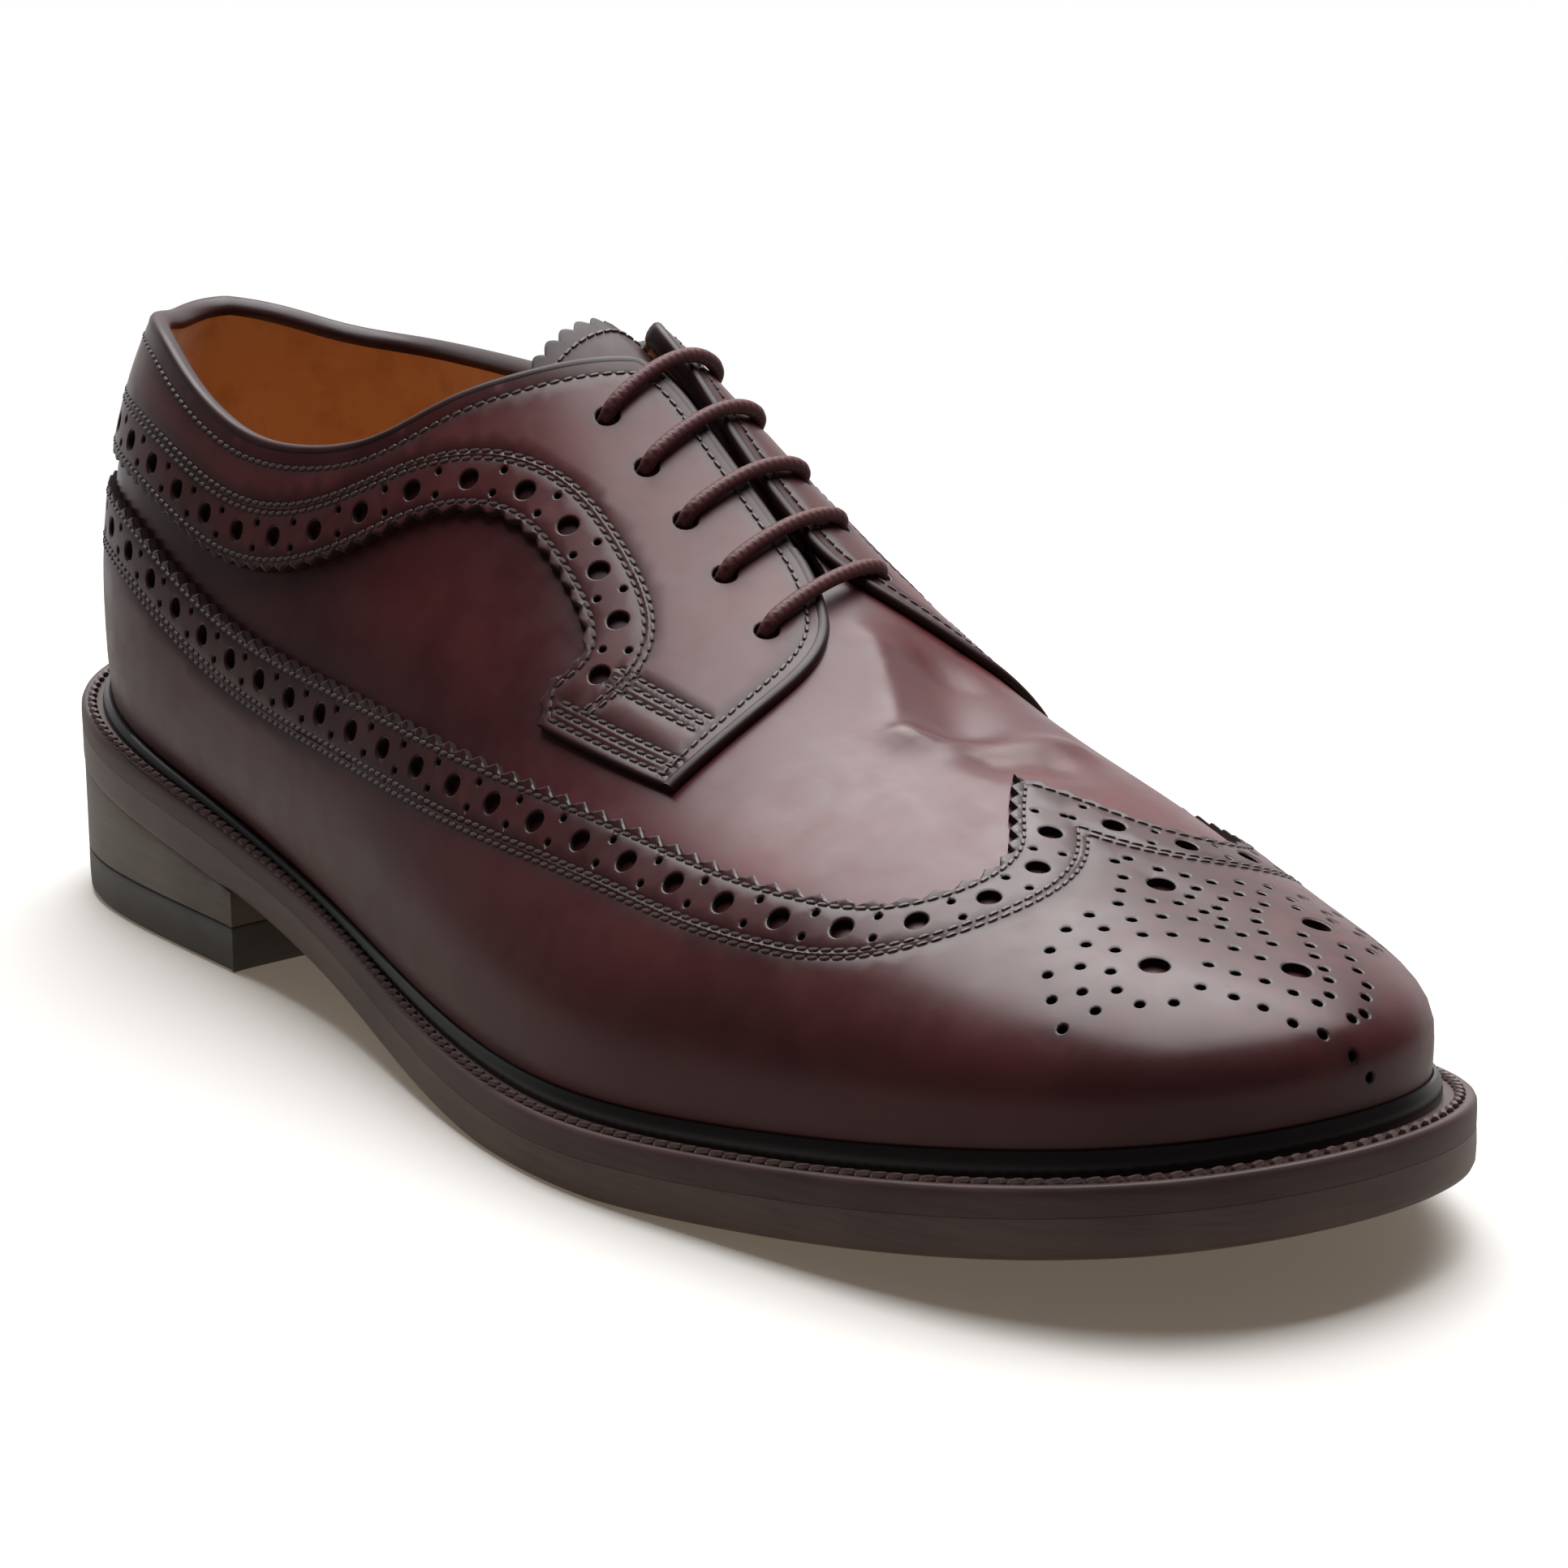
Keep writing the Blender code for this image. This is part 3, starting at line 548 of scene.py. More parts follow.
def cut_panel(outer, inner, rounded, step, holes=(), rows=(), painted_shade_lines=()):
    """Triangles of a panel cut from the flat leather, with how far each point is sunk and its darkening, dark
    cream and painted shade.

    Holes are (centres, radius, sides) groups, rows are sunk stitch lines, rounded are the edges that show,
    and the last argument holds lines beside which shade is painted.
    """
    loops = [outer] + ([inner] if inner is not None else [])
    hard, sunk, label, edges = [], [], [], []
    for k, loop in enumerate(loops):
        first = sum(len(part) for part in hard)
        edges += [(first + i, first + (i + 1) % len(loop)) for i in range(len(loop))]
        hard.append(loop)
        sunk.append(np.full(len(loop), EDGE_ROUND if k in rounded else 0.0))
        label.append(np.full(len(loop), -1))
    soft, soft_sunk = [], []
    number = 0
    for centres, radius, sides in holes:
        rims = rings(centres, np.full(len(centres), radius), sides)
        collars = rings(centres, np.full(len(centres), radius + HOLE_COLLAR), sides)
        for rim, collar in zip(rims, collars):
            first = sum(len(part) for part in hard)
            edges += [(first + i, first + (i + 1) % sides) for i in range(sides)]
            hard.append(rim)
            sunk.append(np.full(sides, HOLE_ROUND))
            label.append(np.full(sides, number))
            soft.append(collar)
            soft_sunk.append(np.zeros(sides))
            number += 1
    for row in rows:
        line = even(row, ROW_STEP)
        for shift, depth in ((0, ROW_SUNK), (ROW_HALF, ROW_SHOULDER), (-ROW_HALF, ROW_SHOULDER)):
            soft.append(beside(line, shift) if shift else line)
            soft_sunk.append(np.full(len(line), depth))
    for k in rounded:
        for shift in (EDGE_BAND, -EDGE_BAND):
            soft.append(beside(loops[k], shift))
            soft_sunk.append(np.zeros(len(loops[k])))
    flat, drop, mark = np.vstack(hard), np.concatenate(sunk), np.concatenate(label)
    within = lambda points: inside(points, outer) & (~inside(points, inner) if inner is not None else True)
    if soft:
        extra, extra_drop = np.vstack(soft), np.concatenate(soft_sunk)
        good = within(extra) & (distance_to(surface(extra), surface(flat)) > SOFT_CLEAR)
        flat, drop = np.vstack([flat, extra[good]]), np.concatenate([drop, extra_drop[good]])
    fill = fill_points(step)
    fill = fill[within(fill)]
    fill = fill[distance_to(surface(fill), surface(flat)) > FILL_CLEAR * step]
    flat, drop = np.vstack([flat, fill]), np.concatenate([drop, np.zeros(len(fill))])
    mark = np.concatenate([mark, np.full(len(flat) - len(mark), -1)])
    for centres, radius, _ in holes:
        away = distance_to(surface(flat), surface(centres))
        drop[(away < HOLE_CLEAR * radius) & (mark < 0)] = np.nan
    kept = ~np.isnan(drop)
    renumber = np.cumsum(kept) - 1
    edges = [(int(renumber[a]), int(renumber[b])) for a, b in edges]
    flat, drop, mark = flat[kept], drop[kept], mark[kept]
    result = delaunay_2d_cdt([Vector(p) for p in flat.tolist()], edges, [], 0, 1e-5)
    source = [origins[0] if origins else -1 for origins in result[3]]
    triangles = np.array([[source[i] for i in face] for face in result[2]])
    triangles = triangles[(triangles >= 0).all(axis=1)]
    marks = mark[triangles]
    punched = (marks[:, 0] >= 0) & (marks[:, 0] == marks[:, 1]) & (marks[:, 1] == marks[:, 2])
    triangles = triangles[within(flat[triangles].mean(axis=1)) & ~punched]
    burnish = cream_and_shade_at(flat, ([loops[k] for k in rounded], rows, [flat[mark >= 0]], painted_shade_lines))
    return flat, drop, burnish, triangles


def follow_last(mesh, corners, normals):
    """Gives corners of a mesh their normals, so that the light runs smoothly up to each hole."""
    kept = np.zeros(3 * len(mesh.loops), np.float32)
    mesh.corner_normals.foreach_get("vector", kept)
    kept = kept.reshape(-1, 3)
    kept[corners] = normals
    mesh.normals_split_custom_set(kept.tolist())


def add_panel(name, panel, low, high, material, slot, nodes=()):
    """Closed sheet of leather between two heights over the last."""
    flat, drop, burnish, triangles = panel
    used, faces = np.unique(triangles, return_inverse=True)
    faces = faces.reshape(-1, 3).tolist()
    count = len(used)
    directed = {(face[k], face[(k + 1) % 3]) for face in faces for k in range(3)}
    rim = sorted((a, b) for a, b in directed if (b, a) not in directed)
    walls = [(b, a, a + count, b + count) for a, b in rim]
    below = [tuple(reversed(face)) for face in faces]
    above = [tuple(i + count for i in face) for face in faces]
    under = lay(flat[used], np.full(count, low))[0]
    over, lie = lay(flat[used], high - drop[used])
    # The underside and the cut walls are fully darkened: edge ink on the outer cuts, painted shade on the
    # walls of the punched holes
    piece = add_piece(name, np.vstack([under, over]), below + above + walls, material, nodes,
                      {"burnish": np.concatenate([np.ones(count), burnish[used]])}, SHEET_CREASE)
    corner = np.zeros(len(piece.data.loops), np.int32)
    piece.data.loops.foreach_get("vertex_index", corner)
    top = np.arange(3 * len(below), 3 * (len(below) + len(above)))
    top = top[drop[used][corner[top] - count] == 0]
    follow_last(piece.data, top, lie[corner[top] - count])
    return piece


FEATHER_STEP = 0.04
FEATHER_LINE = roll_out(np.arange(0, LOOP, FEATHER_STEP), np.zeros(int(round(LOOP / FEATHER_STEP))))
collar_line = {side: draw(COLLAR[side], side) for side in COLLAR}
throat_line = {side: draw(THROAT[side], side) for side in COLLAR}
foot_line = {side: draw(THROAT_FOOT[side], side) for side in COLLAR}
half_mouth = {side: chain(collar_line[side], throat_line[side], foot_line[side]) for side in COLLAR}
mouth_line = np.vstack([half_mouth["lateral"], half_mouth["medial"][::-1][1:]])
vamp_calf = burnished_calf("vamp_calf", "#59262a", "#6b2d31", "#140a0a", 0.33)
# Shade is painted on the vamp for a few millimetres beside the throat's foot, under the tongue and facings
vamp = cut_panel(FEATHER_LINE, mouth_line, (1,), PANEL_STEP, (), (), tuple(foot_line.values()))
vamp_piece = add_panel("vamp_and_quarters", vamp, -LEATHER, 0.0, vamp_calf, "burgundy_leather", ("upper",))


# Wing: one long piece of the same calf round the whole shoe, peaked on the toe, its upper edge gimped
# into teeth. A band along the edge is punched with large and small holes, and a medallion is on the toe.
OVERLAY = (0.05, 1.35)
TURNS = {"lateral": 1, "medial": -1}
WING = {
    "lateral": ((0, 37.5), (1.2, 38), (2.25, 39.4), (3, 35.3), (4.15, 38.5), (5.23, 41.7), (6.12, 41.5),
                (7.12, 37.6), (7.48, 39.1), (7.7, 46.7), (7.7, 55), (7.5, -8), (7.15, -0.0)),
    "medial": ((0, 37.5), (1.2, 37.5), (2.25, 38), (3, 35.3), (4.15, 37), (5.23, 38), (6.12, 35.5),
               (7.05, 31.5), (7.48, 33.5), (7.7, 39.5), (7.7, 47.5), (7.5, -8), (7.15, -0.0)),
}
# Pitch and depth of the teeth, and points to each
TOOTH = (4.0, 1.2)
TOOTH_PARTS = 4
BAND_ROWS = (1.9, 9.2, 10.5)
BAND_MIDDLE = 5.5
# Large holes: radius, pitch, corners. Small ones: radius, distance from the band's middle, corners.
LARGE_HOLE = (1.65, 10.3, 18)
SMALL_HOLE = (0.55, 2.0, 10)
# Medallion holes by (station, distance from the ridge): on the middle line, then on one half, in strings
MEDALLION_HOLE = (2.0, 20)
MEDALLION_DOT = (0.7, 10)
MEDALLION_FLARE = 0.9
AXIS_HOLES = ((10, 4.9), (10, 32.7))
SIDE_HOLES = ((9.04, 30.1),)
AXIS_DOTS = ((10, 14.0), (10, 21.7), (10, 39.2), (10, 43.7), (10, 50.7))
SIDE_DOTS = (
    (8.56, 44.6), (8.48, 40.0), (8.42, 35.4), (8.38, 30.2), (8.42, 24.6), (8.54, 19.4), (8.78, 14.0),
    (8.80, 9.8), (8.84, 5.5), (8.64, 1.8),
    (8.70, 41.2), (8.62, 37.8), (8.58, 32.5), (8.58, 27.1), (8.68, 22.1), (8.92, 17.9), (9.28, 15.4),
    (9.68, 15.7), (9.90, 18.7), (9.24, 10.8), (9.76, 10.7),
    (8.92, 39.5), (8.80, 36.8), (8.76, 32.7), (8.78, 27.2), (9.00, 21.8), (9.28, 20.8), (9.56, 22.2),
    (9.74, 25.1), (9.86, 28.4),
    (9.10, 38.9), (9.28, 35.2), (9.42, 29.3), (9.56, 31.8), (9.70, 34.3), (9.80, 37.6), (9.88, 40.3),
    (9.44, 37.6), (9.56, 40.2), (9.66, 43.4), (9.78, 45.4), (9.90, 48.1),
)
RIDGE = np.array([row[:2] for row in LAST.values()][2:])
# How black the leather is painted under an overlay, a painted shade that makes the punched holes read dark,
# and how far in from the overlay's edge that starts
COVERED_PAINTED_SHADE = 0.72
COVER_IN = 0.8
# Strength and reach of the darkening on the quarters, partly dark cream and partly painted shade; the
# quarters end this far along the wing from the heel
QUARTER_CREAM_AND_SHADE = (0.6, 18.0)
QUARTER_END = 170


def gimped(line, turn, depth):
    """Line cut into teeth whose tips stay on it, with the notches to its right where the turn is positive."""
    line = even(line, TOOTH[0] / TOOTH_PARTS)
    half = TOOTH_PARTS // 2
    notch = np.abs((np.arange(len(line)) + half) % TOOTH_PARTS - half) / half
    return beside(line, turn * depth * notch)


def on_side(line, side):
    """Points of a flat line that stay on their own side of the ridge."""
    aside = line[:, 1] - np.interp(line[:, 0], RIDGE[:, 0], RIDGE[:, 1])
    return line[aside < 0] if side == "lateral" else line[aside > 0]


def band_holes(line, turn):
    """Centres of the large holes and of the small pairs between them, along a band beside a line."""
    pitch = LARGE_HOLE[1]
    middle = beside(line, turn * BAND_MIDDLE)
    count = int(round(lengths(surface(middle))[-1] / pitch))
    fine = even(middle, lengths(surface(middle))[-1] / (2 * count))
    large, gap = fine[1::2], fine[2:-1:2]
    away = SMALL_HOLE[1]
    smooth = even(middle, ROW_STEP)
    pairs = []
    for shift in (away, -away):
        moved = beside(smooth, shift)
        nearest = [np.argmin(np.linalg.norm(smooth - point, axis=1)) for point in gap]
        pairs.append(moved[nearest])
    return large, np.vstack(pairs)


def medallion(axis, side):
    """Flat centres of a medallion's holes, its side ones on both halves of the toe."""
    both = list(axis) + list(side) + [(LOOP - station, MEDALLION_FLARE * away) for station, away in side]
    station, away = np.array(both, float).T
    return roll_out(station, girths(station)[:, -1] - away)


wing_half = {side: draw(WING[side], side) for side in WING}
wing_teeth = np.vstack([gimped(wing_half["lateral"], 1, TOOTH[1]),
                        gimped(wing_half["medial"][::-1], 1, TOOTH[1])[1:-1]])
wing_rows = []
wing_large, wing_small = [], []
for side, turn in TURNS.items():
    for distance in BAND_ROWS:
        wing_rows.append(on_side(beside(wing_half[side], turn * distance), side))
    large, small = band_holes(on_side(wing_half[side], side), turn)
    wing_large.append(on_side(large, side))
    wing_small.append(on_side(small, side))
wing_holes = ((np.vstack(wing_large), LARGE_HOLE[0], LARGE_HOLE[2]),
              (np.vstack(wing_small), SMALL_HOLE[0], SMALL_HOLE[2]),
              (medallion(AXIS_HOLES, SIDE_HOLES), *MEDALLION_HOLE),
              (medallion(AXIS_DOTS, SIDE_DOTS), *MEDALLION_DOT))
wing_calf = burnished_calf("wing_calf", "#4f292a", "#5e3032", "#140a0a", 0.33)
wing = cut_panel(FEATHER_LINE, wing_teeth, (1,), PANEL_STEP, wing_holes, wing_rows)
add_panel("longwing", wing, *OVERLAY, wing_calf, "wing_leather", ("wing",))


def paint_shade_and_cream(covered, lines):
    """Paints shade on the vamp under an overlay, so that punched holes read dark, and darkens it beside lines
    with dark cream and painted shade.
    """
    used = np.unique(vamp[-1])
    flat = vamp[0][used]
    layer = vamp_piece.data.attributes["burnish"].data
    values = np.zeros(len(layer), np.float32)
    layer.foreach_get("value", values)
    upper = values[len(used):]
    upper[covered(flat)] = COVERED_PAINTED_SHADE
    for line in lines:
        away = distance_to(surface(flat), surface(line))
        upper[:] = np.maximum(upper, QUARTER_CREAM_AND_SHADE[0] * np.exp(-(away / QUARTER_CREAM_AND_SHADE[1]) ** 2))
    layer.foreach_set("value", values)


# Painted shade under the wing, and darkening along the quarters' part of the wing line, part dark cream and
# part painted shade
paint_shade_and_cream(lambda flat: ~inside(flat, beside(wing_teeth, COVER_IN)),
          [wing_half[side][:QUARTER_END] for side in WING])


# Facings: the two eyelet pieces, sewn over the quarters with the collar strip in one with them. Their
# front edges are folded, their lower edges gimped and punched like the wing, and a tab is sewn down hard.
FACING_FRONT = {
    "lateral": (THROAT_END["lateral"], (5.5, -2.6), (5.6, -3.9), (5.7, -5.9), (5.78, -8.8), (5.85, -13.2),
                (5.92, -22), (5.96, -33), (5.97, 49.2)),
    "medial": (THROAT_END["medial"], (5.4, -3.0), (5.48, -4.9), (5.56, -7.6), (5.64, -10.8), (5.74, -15.5),
               (5.85, -22), (5.92, 42)),
}
TAB_FOOT = {
    "lateral": ((5.97, 49.2), (5.6, 49.2), (5.28, 49.2)),
    "medial": ((5.92, 42), (5.6, 42.3), (5.28, 43)),
}
FACING_LOWER = {
    "lateral": ((5.28, 49.2), (5.2, 55), (5.23, 60), (4.9, 70.5), (4.6, 73), (4.33, 69), (3.83, 54),
                (3.3, 44.2), (2.88, 42.3), (2.3, 44.4), (1, 42.5), (SEAM, 41.5)),
    "medial": ((5.28, 43), (5.2, 48), (5.22, 52), (4.9, 60), (4.6, 63), (4.33, 60.5), (3.83, 51),
               (3.3, 44.2), (2.88, 42.3), (2.3, 43), (1, 41.5), (SEAM, 41.5)),
}
EYELETS = {"lateral": (4.61, 4.85, 5.09, 5.34, 5.62), "medial": (4.47, 4.71, 4.97, 5.20, 5.45)}
EYELET_GIRTH = {"lateral": 14.6, "medial": 10.5}
EYELET_HOLE = (1.8, 16)
STRIP_TOOTH = 0.9
EDGE_ROW = 2.8
COLLAR_ROW = 3.6
TAB_ROWS = (1.6, 3.2, 4.8)
BAR = {"lateral": (5.40, 5.84, 59.3), "medial": (5.40, 5.84, 52.5)}
BAR_STEP = 1.6
BAR_ROWS = 3
# Where rows and holes start along their lines, and the part of the tab's rows that is kept, in millimetres
BAND_START = 9
HOLE_START = 7
THROAT_START = 3
TAB_KEPT = slice(2, -1)
FACING_STEP = 2.2

facing_calf = burnished_calf("facing_calf", "#58282a", "#672e30", "#140a0a", 0.35)
facing_rows = []
for side, turn in TURNS.items():
    front = draw(FACING_FRONT[side], side)
    tab = draw(TAB_FOOT[side], side)
    lower = draw(FACING_LOWER[side], side)
    loop = chain(collar_line[side], throat_line[side], front, tab, gimped(lower, turn, STRIP_TOOTH))
    rows = [beside(lower, turn * BAND_ROWS[0])]
    rows += [beside(lower[BAND_START:], turn * distance) for distance in BAND_ROWS[1:]]
    rows += [beside(chain(throat_line[side][THROAT_START:], front[:-1]), turn * EDGE_ROW)]
    rows += [beside(collar_line[side], turn * COLLAR_ROW)]
    rows += [beside(tab, turn * distance)[TAB_KEPT] for distance in TAB_ROWS]
    start, end, girth = BAR[side]
    heights = [girth + k * BAR_STEP for k in range(BAR_ROWS)]
    rows += [draw(((start, height), (end, height)), side) for height in heights]
    rows = [row[inside(row, loop)] for row in rows]
    large, small = band_holes(lower[HOLE_START:], turn)
    eyelets = across_ridge(EYELETS[side], np.full(len(EYELETS[side]), -turn * EYELET_GIRTH[side]))
    holes = ((large, LARGE_HOLE[0], LARGE_HOLE[2]), (small, SMALL_HOLE[0], SMALL_HOLE[2]),
             (eyelets, *EYELET_HOLE))
    facing = cut_panel(loop, None, (0,), FACING_STEP, holes, rows)
    add_panel("eyelet_facing_" + side, facing, *OVERLAY, facing_calf, "facing_leather", ("facing_" + side,))
    # Painted shade under the facing, and darkening beside its lower edge, part dark cream and part painted
    # shade
    paint_shade_and_cream(lambda flat: inside(flat, beside(loop, COVER_IN)), [lower])
    facing_rows += rows


# Folded edges: the collar and the facings' front edges are skived, turned over and pressed, which leaves
# a smooth dark roll along each. Each roll is swept along its edge, from the outside over to the lining.
COLLAR_ROLL = ((1.5, 1.28), (1.1, 1.4), (0.5, 1.46), (0.0, 1.3), (-0.3, 0.9), (-0.4, 0.0), (-0.3, -1.0),
               (0.1, -1.9), (0.7, -2.3), (1.5, -2.35), (1.6, -1.6), (1.6, 0.4))
FRONT_ROLL = ((1.4, 1.26), (1.1, 1.44), (0.6, 1.55), (0.1, 1.5), (-0.35, 1.2), (-0.5, 0.8), (-0.45, 0.3),
              (-0.2, 0.1), (0.8, 0.1))
ROLL_STEP = 1.2
ROLL_BURNISH = 0.45
FRONT_LAP = 4


def swept(loops, close=False):
    """Faces of the skin over loops of equal length, from the first to the last and, if closed, home again."""
    count = len(loops[0])
    faces = []
    for k in range(len(loops) if close else len(loops) - 1):
        this, after = k * count, (k + 1) % len(loops) * count
        for i in range(count):
            j = (i + 1) % count
            faces.append((this + i, this + j, after + j, after + i))
    return faces


def end_caps(loops):
    """Faces that close the first and the last loop."""
    count = len(loops[0])
    return [tuple(range(count)), tuple((len(loops) - 1) * count + i for i in range(count))]


def add_roll(name, line, profile, material):
    """Roll of leather along a flat line; the profile is (distance to the right, height over the last)."""
    bands = [lay(beside(line, away), np.full(len(line), height))[0] for away, height in profile]
    loops = np.stack(bands, axis=1)
    points = loops.reshape(-1, 3)
    add_piece(name, points, swept(loops) + end_caps(loops), material, (),
              {"burnish": np.full(len(points), ROLL_BURNISH)})


edge_half = {side: chain(collar_line[side], throat_line[side]) for side in COLLAR}
collar_edge = np.vstack([edge_half["medial"][::-1], edge_half["lateral"]])
edge_calf = burnished_calf("edge_calf", "#361719", "#451d1f", "#140a0a", 0.4)
add_roll("collar_edge", even(collar_edge, ROLL_STEP), COLLAR_ROLL, edge_calf)
for side in COLLAR:
    front_edge = chain(throat_line[side][-FRONT_LAP:], draw(FACING_FRONT[side], side))
    front_edge = front_edge if side == "lateral" else front_edge[::-1]
    add_roll("front_edge_" + side, front_edge, FRONT_ROLL, edge_calf)


# Lining: vegetable-tanned calf inside the quarters and vamp, cut just under the collar and left undyed.
# A sock of the same leather is glued over the insole.
TAN = ("#cf955f", "#e4b684", "#a86e3e")
LINING = (-2.3, -1.25)
LINING_DROP = 1.4
LINING_TRIM = 2
LINING_STEP = 4.0


def tanned_calf(name, deep, warm, shade):
    """Undyed vegetable-tanned calf: matt and orange brown, with a soft nap and darker where it is handled."""
    material, tree = new_material(name)
    place = add_node(tree, "ShaderNodeTexCoord")
    cloud = add_node(tree, "ShaderNodeTexNoise", {}, {
        "Vector": (place, "Object"), "Scale": 1 / (22 * MM), "Detail": 5.0, "Roughness": 0.6})
    tone = add_node(tree, "ShaderNodeMix", {"data_type": "RGBA"}, {
        0: (cloud, "Fac"), 6: srgb(deep), 7: srgb(warm)})
    rub = add_node(tree, "ShaderNodeTexNoise", {}, {
        "Vector": (place, "Object"), "Scale": 1 / (9 * MM), "Detail": 3.0})
    worn = add_node(tree, "ShaderNodeMapRange", {}, {
        "Value": (rub, "Fac"), "From Min": 0.5, "From Max": 0.8, "To Max": 0.5})
    colour = add_node(tree, "ShaderNodeMix", {"data_type": "RGBA"}, {
        0: (worn, 0), 6: (tone, 2), 7: srgb(shade)})
    # The nap is finer than a tenth of a millimetre; half a millimetre is the finest that shows here
    nap = add_node(tree, "ShaderNodeTexNoise", {}, {
        "Vector": (place, "Object"), "Scale": 1 / (0.5 * MM), "Detail": 2.0})
    bump = add_node(tree, "ShaderNodeBump", {}, {
        "Strength": 0.25, "Distance": 0.2 * MM, "Height": (nap, "Fac")})
    shader = add_node(tree, "ShaderNodeBsdfPrincipled", {}, {
        "Base Color": (colour, 2), "Roughness": 0.72, "Normal": (bump, 0), "IOR": 1.45, "Sheen Weight": 0.3,
        "Sheen Roughness": 0.4})
    add_node(tree, "ShaderNodeOutputMaterial", {}, {"Surface": (shader, 0)})
    return material


lining_calf = tanned_calf("lining_calf", *TAN)
lining_edge = np.vstack([beside(half_mouth["lateral"], LINING_DROP)[:-LINING_TRIM],
                         beside(half_mouth["medial"], -LINING_DROP)[::-1][LINING_TRIM:]])
lining = cut_panel(FEATHER_LINE, lining_edge, (1,), LINING_STEP)
add_panel("lining", lining, *LINING, lining_calf, "tan_leather")
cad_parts["insole"].material_slots[0].material = lining_calf


# Stitching: lockstitch in waxed polyester thread, about five to the centimetre, each stitch pulled down
# into the leather so that a row reads as small beads in a dark groove.
# Pitch, length and thickness of a stitch
STITCH = (1.95, 1.7, 0.75)
STITCH_SLANT = 0.12
STITCH_SIT = 0.02
SHORTEST_ROW = 4
CAPSULE_RINGS = ((-0.34, 0.85), (0.0, 1.0), (0.34, 0.85))
CAPSULE_SIDES = 6


def waxed_thread(name, deep, warm):
    """Twisted polyester thread, waxed: dull sheen, with a twist too fine to show drawn as a coarse mottle."""
    material, tree = new_material(name)
    place = add_node(tree, "ShaderNodeTexCoord")
    twist = add_node(tree, "ShaderNodeTexNoise", {}, {
        "Vector": (place, "Object"), "Scale": 1 / (0.8 * MM), "Detail": 1.0})
    tone = add_node(tree, "ShaderNodeMix", {"data_type": "RGBA"}, {
        0: (twist, "Fac"), 6: srgb(deep), 7: srgb(warm)})
    shader = add_node(tree, "ShaderNodeBsdfPrincipled", {}, {
        "Base Color": (tone, 2), "Roughness": 0.42, "IOR": 1.5, "Sheen Weight": 0.2})
    add_node(tree, "ShaderNodeOutputMaterial", {}, {"Surface": (shader, 0)})
    return material


def capsule():
    """Points and faces of one stitch, a unit long and a unit in radius."""
    points = [(-0.5, 0.0, 0.0)]
    for along, radius in CAPSULE_RINGS:
        for k in range(CAPSULE_SIDES):
            turn = 2 * math.pi * k / CAPSULE_SIDES
            points.append((along, radius * math.cos(turn), radius * math.sin(turn)))
    points.append((0.5, 0.0, 0.0))
    last = len(points) - 1
    faces = []
    for k in range(CAPSULE_SIDES):
        after = (k + 1) % CAPSULE_SIDES
        faces.append((0, 1 + after, 1 + k))
        for ring in range(len(CAPSULE_RINGS) - 1):
            base = 1 + ring * CAPSULE_SIDES
            faces.append((base + k, base + after, base + CAPSULE_SIDES + after, base + CAPSULE_SIDES + k))
        base = 1 + (len(CAPSULE_RINGS) - 1) * CAPSULE_SIDES
        faces.append((base + k, base + after, last))
    return np.array(points), faces


def add_stitches(name, seats, normals, runs, size, slant, material, slot):
    """Stitches of one size at seats, each turned a little off its run."""
    base, base_faces = capsule()
    length, thick = size
    side = unit(np.cross(normals, runs))
    turned = unit(unit(runs) + slant * side)
    side = np.cross(normals, turned)
    points = seats[:, None] + base[None, :, :1] * length * turned[:, None]
    points = points + base[None, :, 1:2] * thick / 2 * side[:, None]
    points = points + base[None, :, 2:] * thick / 2 * normals[:, None]
    faces = [tuple(i + k * len(base) for i in face) for k in range(len(seats)) for face in base_faces]
    add_piece(name, points.reshape(-1, 3), faces, material)


def add_sewing(name, rows, height, material, slot):
    """Rows of stitches on flat lines."""
    pitch, length, thick = STITCH
    seats, normals, runs = [], [], []
    for row in rows:
        if len(row) < SHORTEST_ROW:
            continue
        line = even(row, pitch)
        seat, normal = lay((line[:-1] + line[1:]) / 2, np.full(len(line) - 1, height + STITCH_SIT))
        seats.append(seat)
        normals.append(normal)
        runs.append(np.diff(surface(line), axis=0))
    add_stitches(name, *(np.vstack(part) for part in (seats, normals, runs)), (length, thick), STITCH_SLANT,
                 material, slot)


thread = waxed_thread("waxed_thread", "#33201f", "#5d4442")
add_sewing("wing_stitching", wing_rows, OVERLAY[1] - ROW_SUNK, thread, "wing_leather")
add_sewing("facing_stitching", facing_rows, OVERLAY[1] - ROW_SUNK, thread, "facing_leather")


# Tongue: calf lined with felt, sewn in under the vamp and standing up past the facings, its top edge
# gimped and rounded, with one row of stitches inside the edge.
TONGUE_TOP = 4.1
TONGUE_ROUNDING = 0.08
TONGUE_FOOT = 5.9
TONGUE_HALF_WIDTH = ((4.0, 20), (4.4, 22), (5.2, 20), (5.9, 15))
TONGUE_HEIGHTS = (-5.8, -3.4)
TONGUE_TOOTH = 0.035
TONGUE_TEETH = 11
TOOTH_POINTS = 8
TONGUE_SHADE = 2.0
# Share of the tongue that is meshed finely, and the rows of points in it and below it
FINE_SHARE = 0.1
FINE_ROWS, PLAIN_ROWS = 7, 40
# Its stitches: how far below the edge, in stations, and what share of the width they keep to
TONGUE_ROW = (0.07, 0.92)

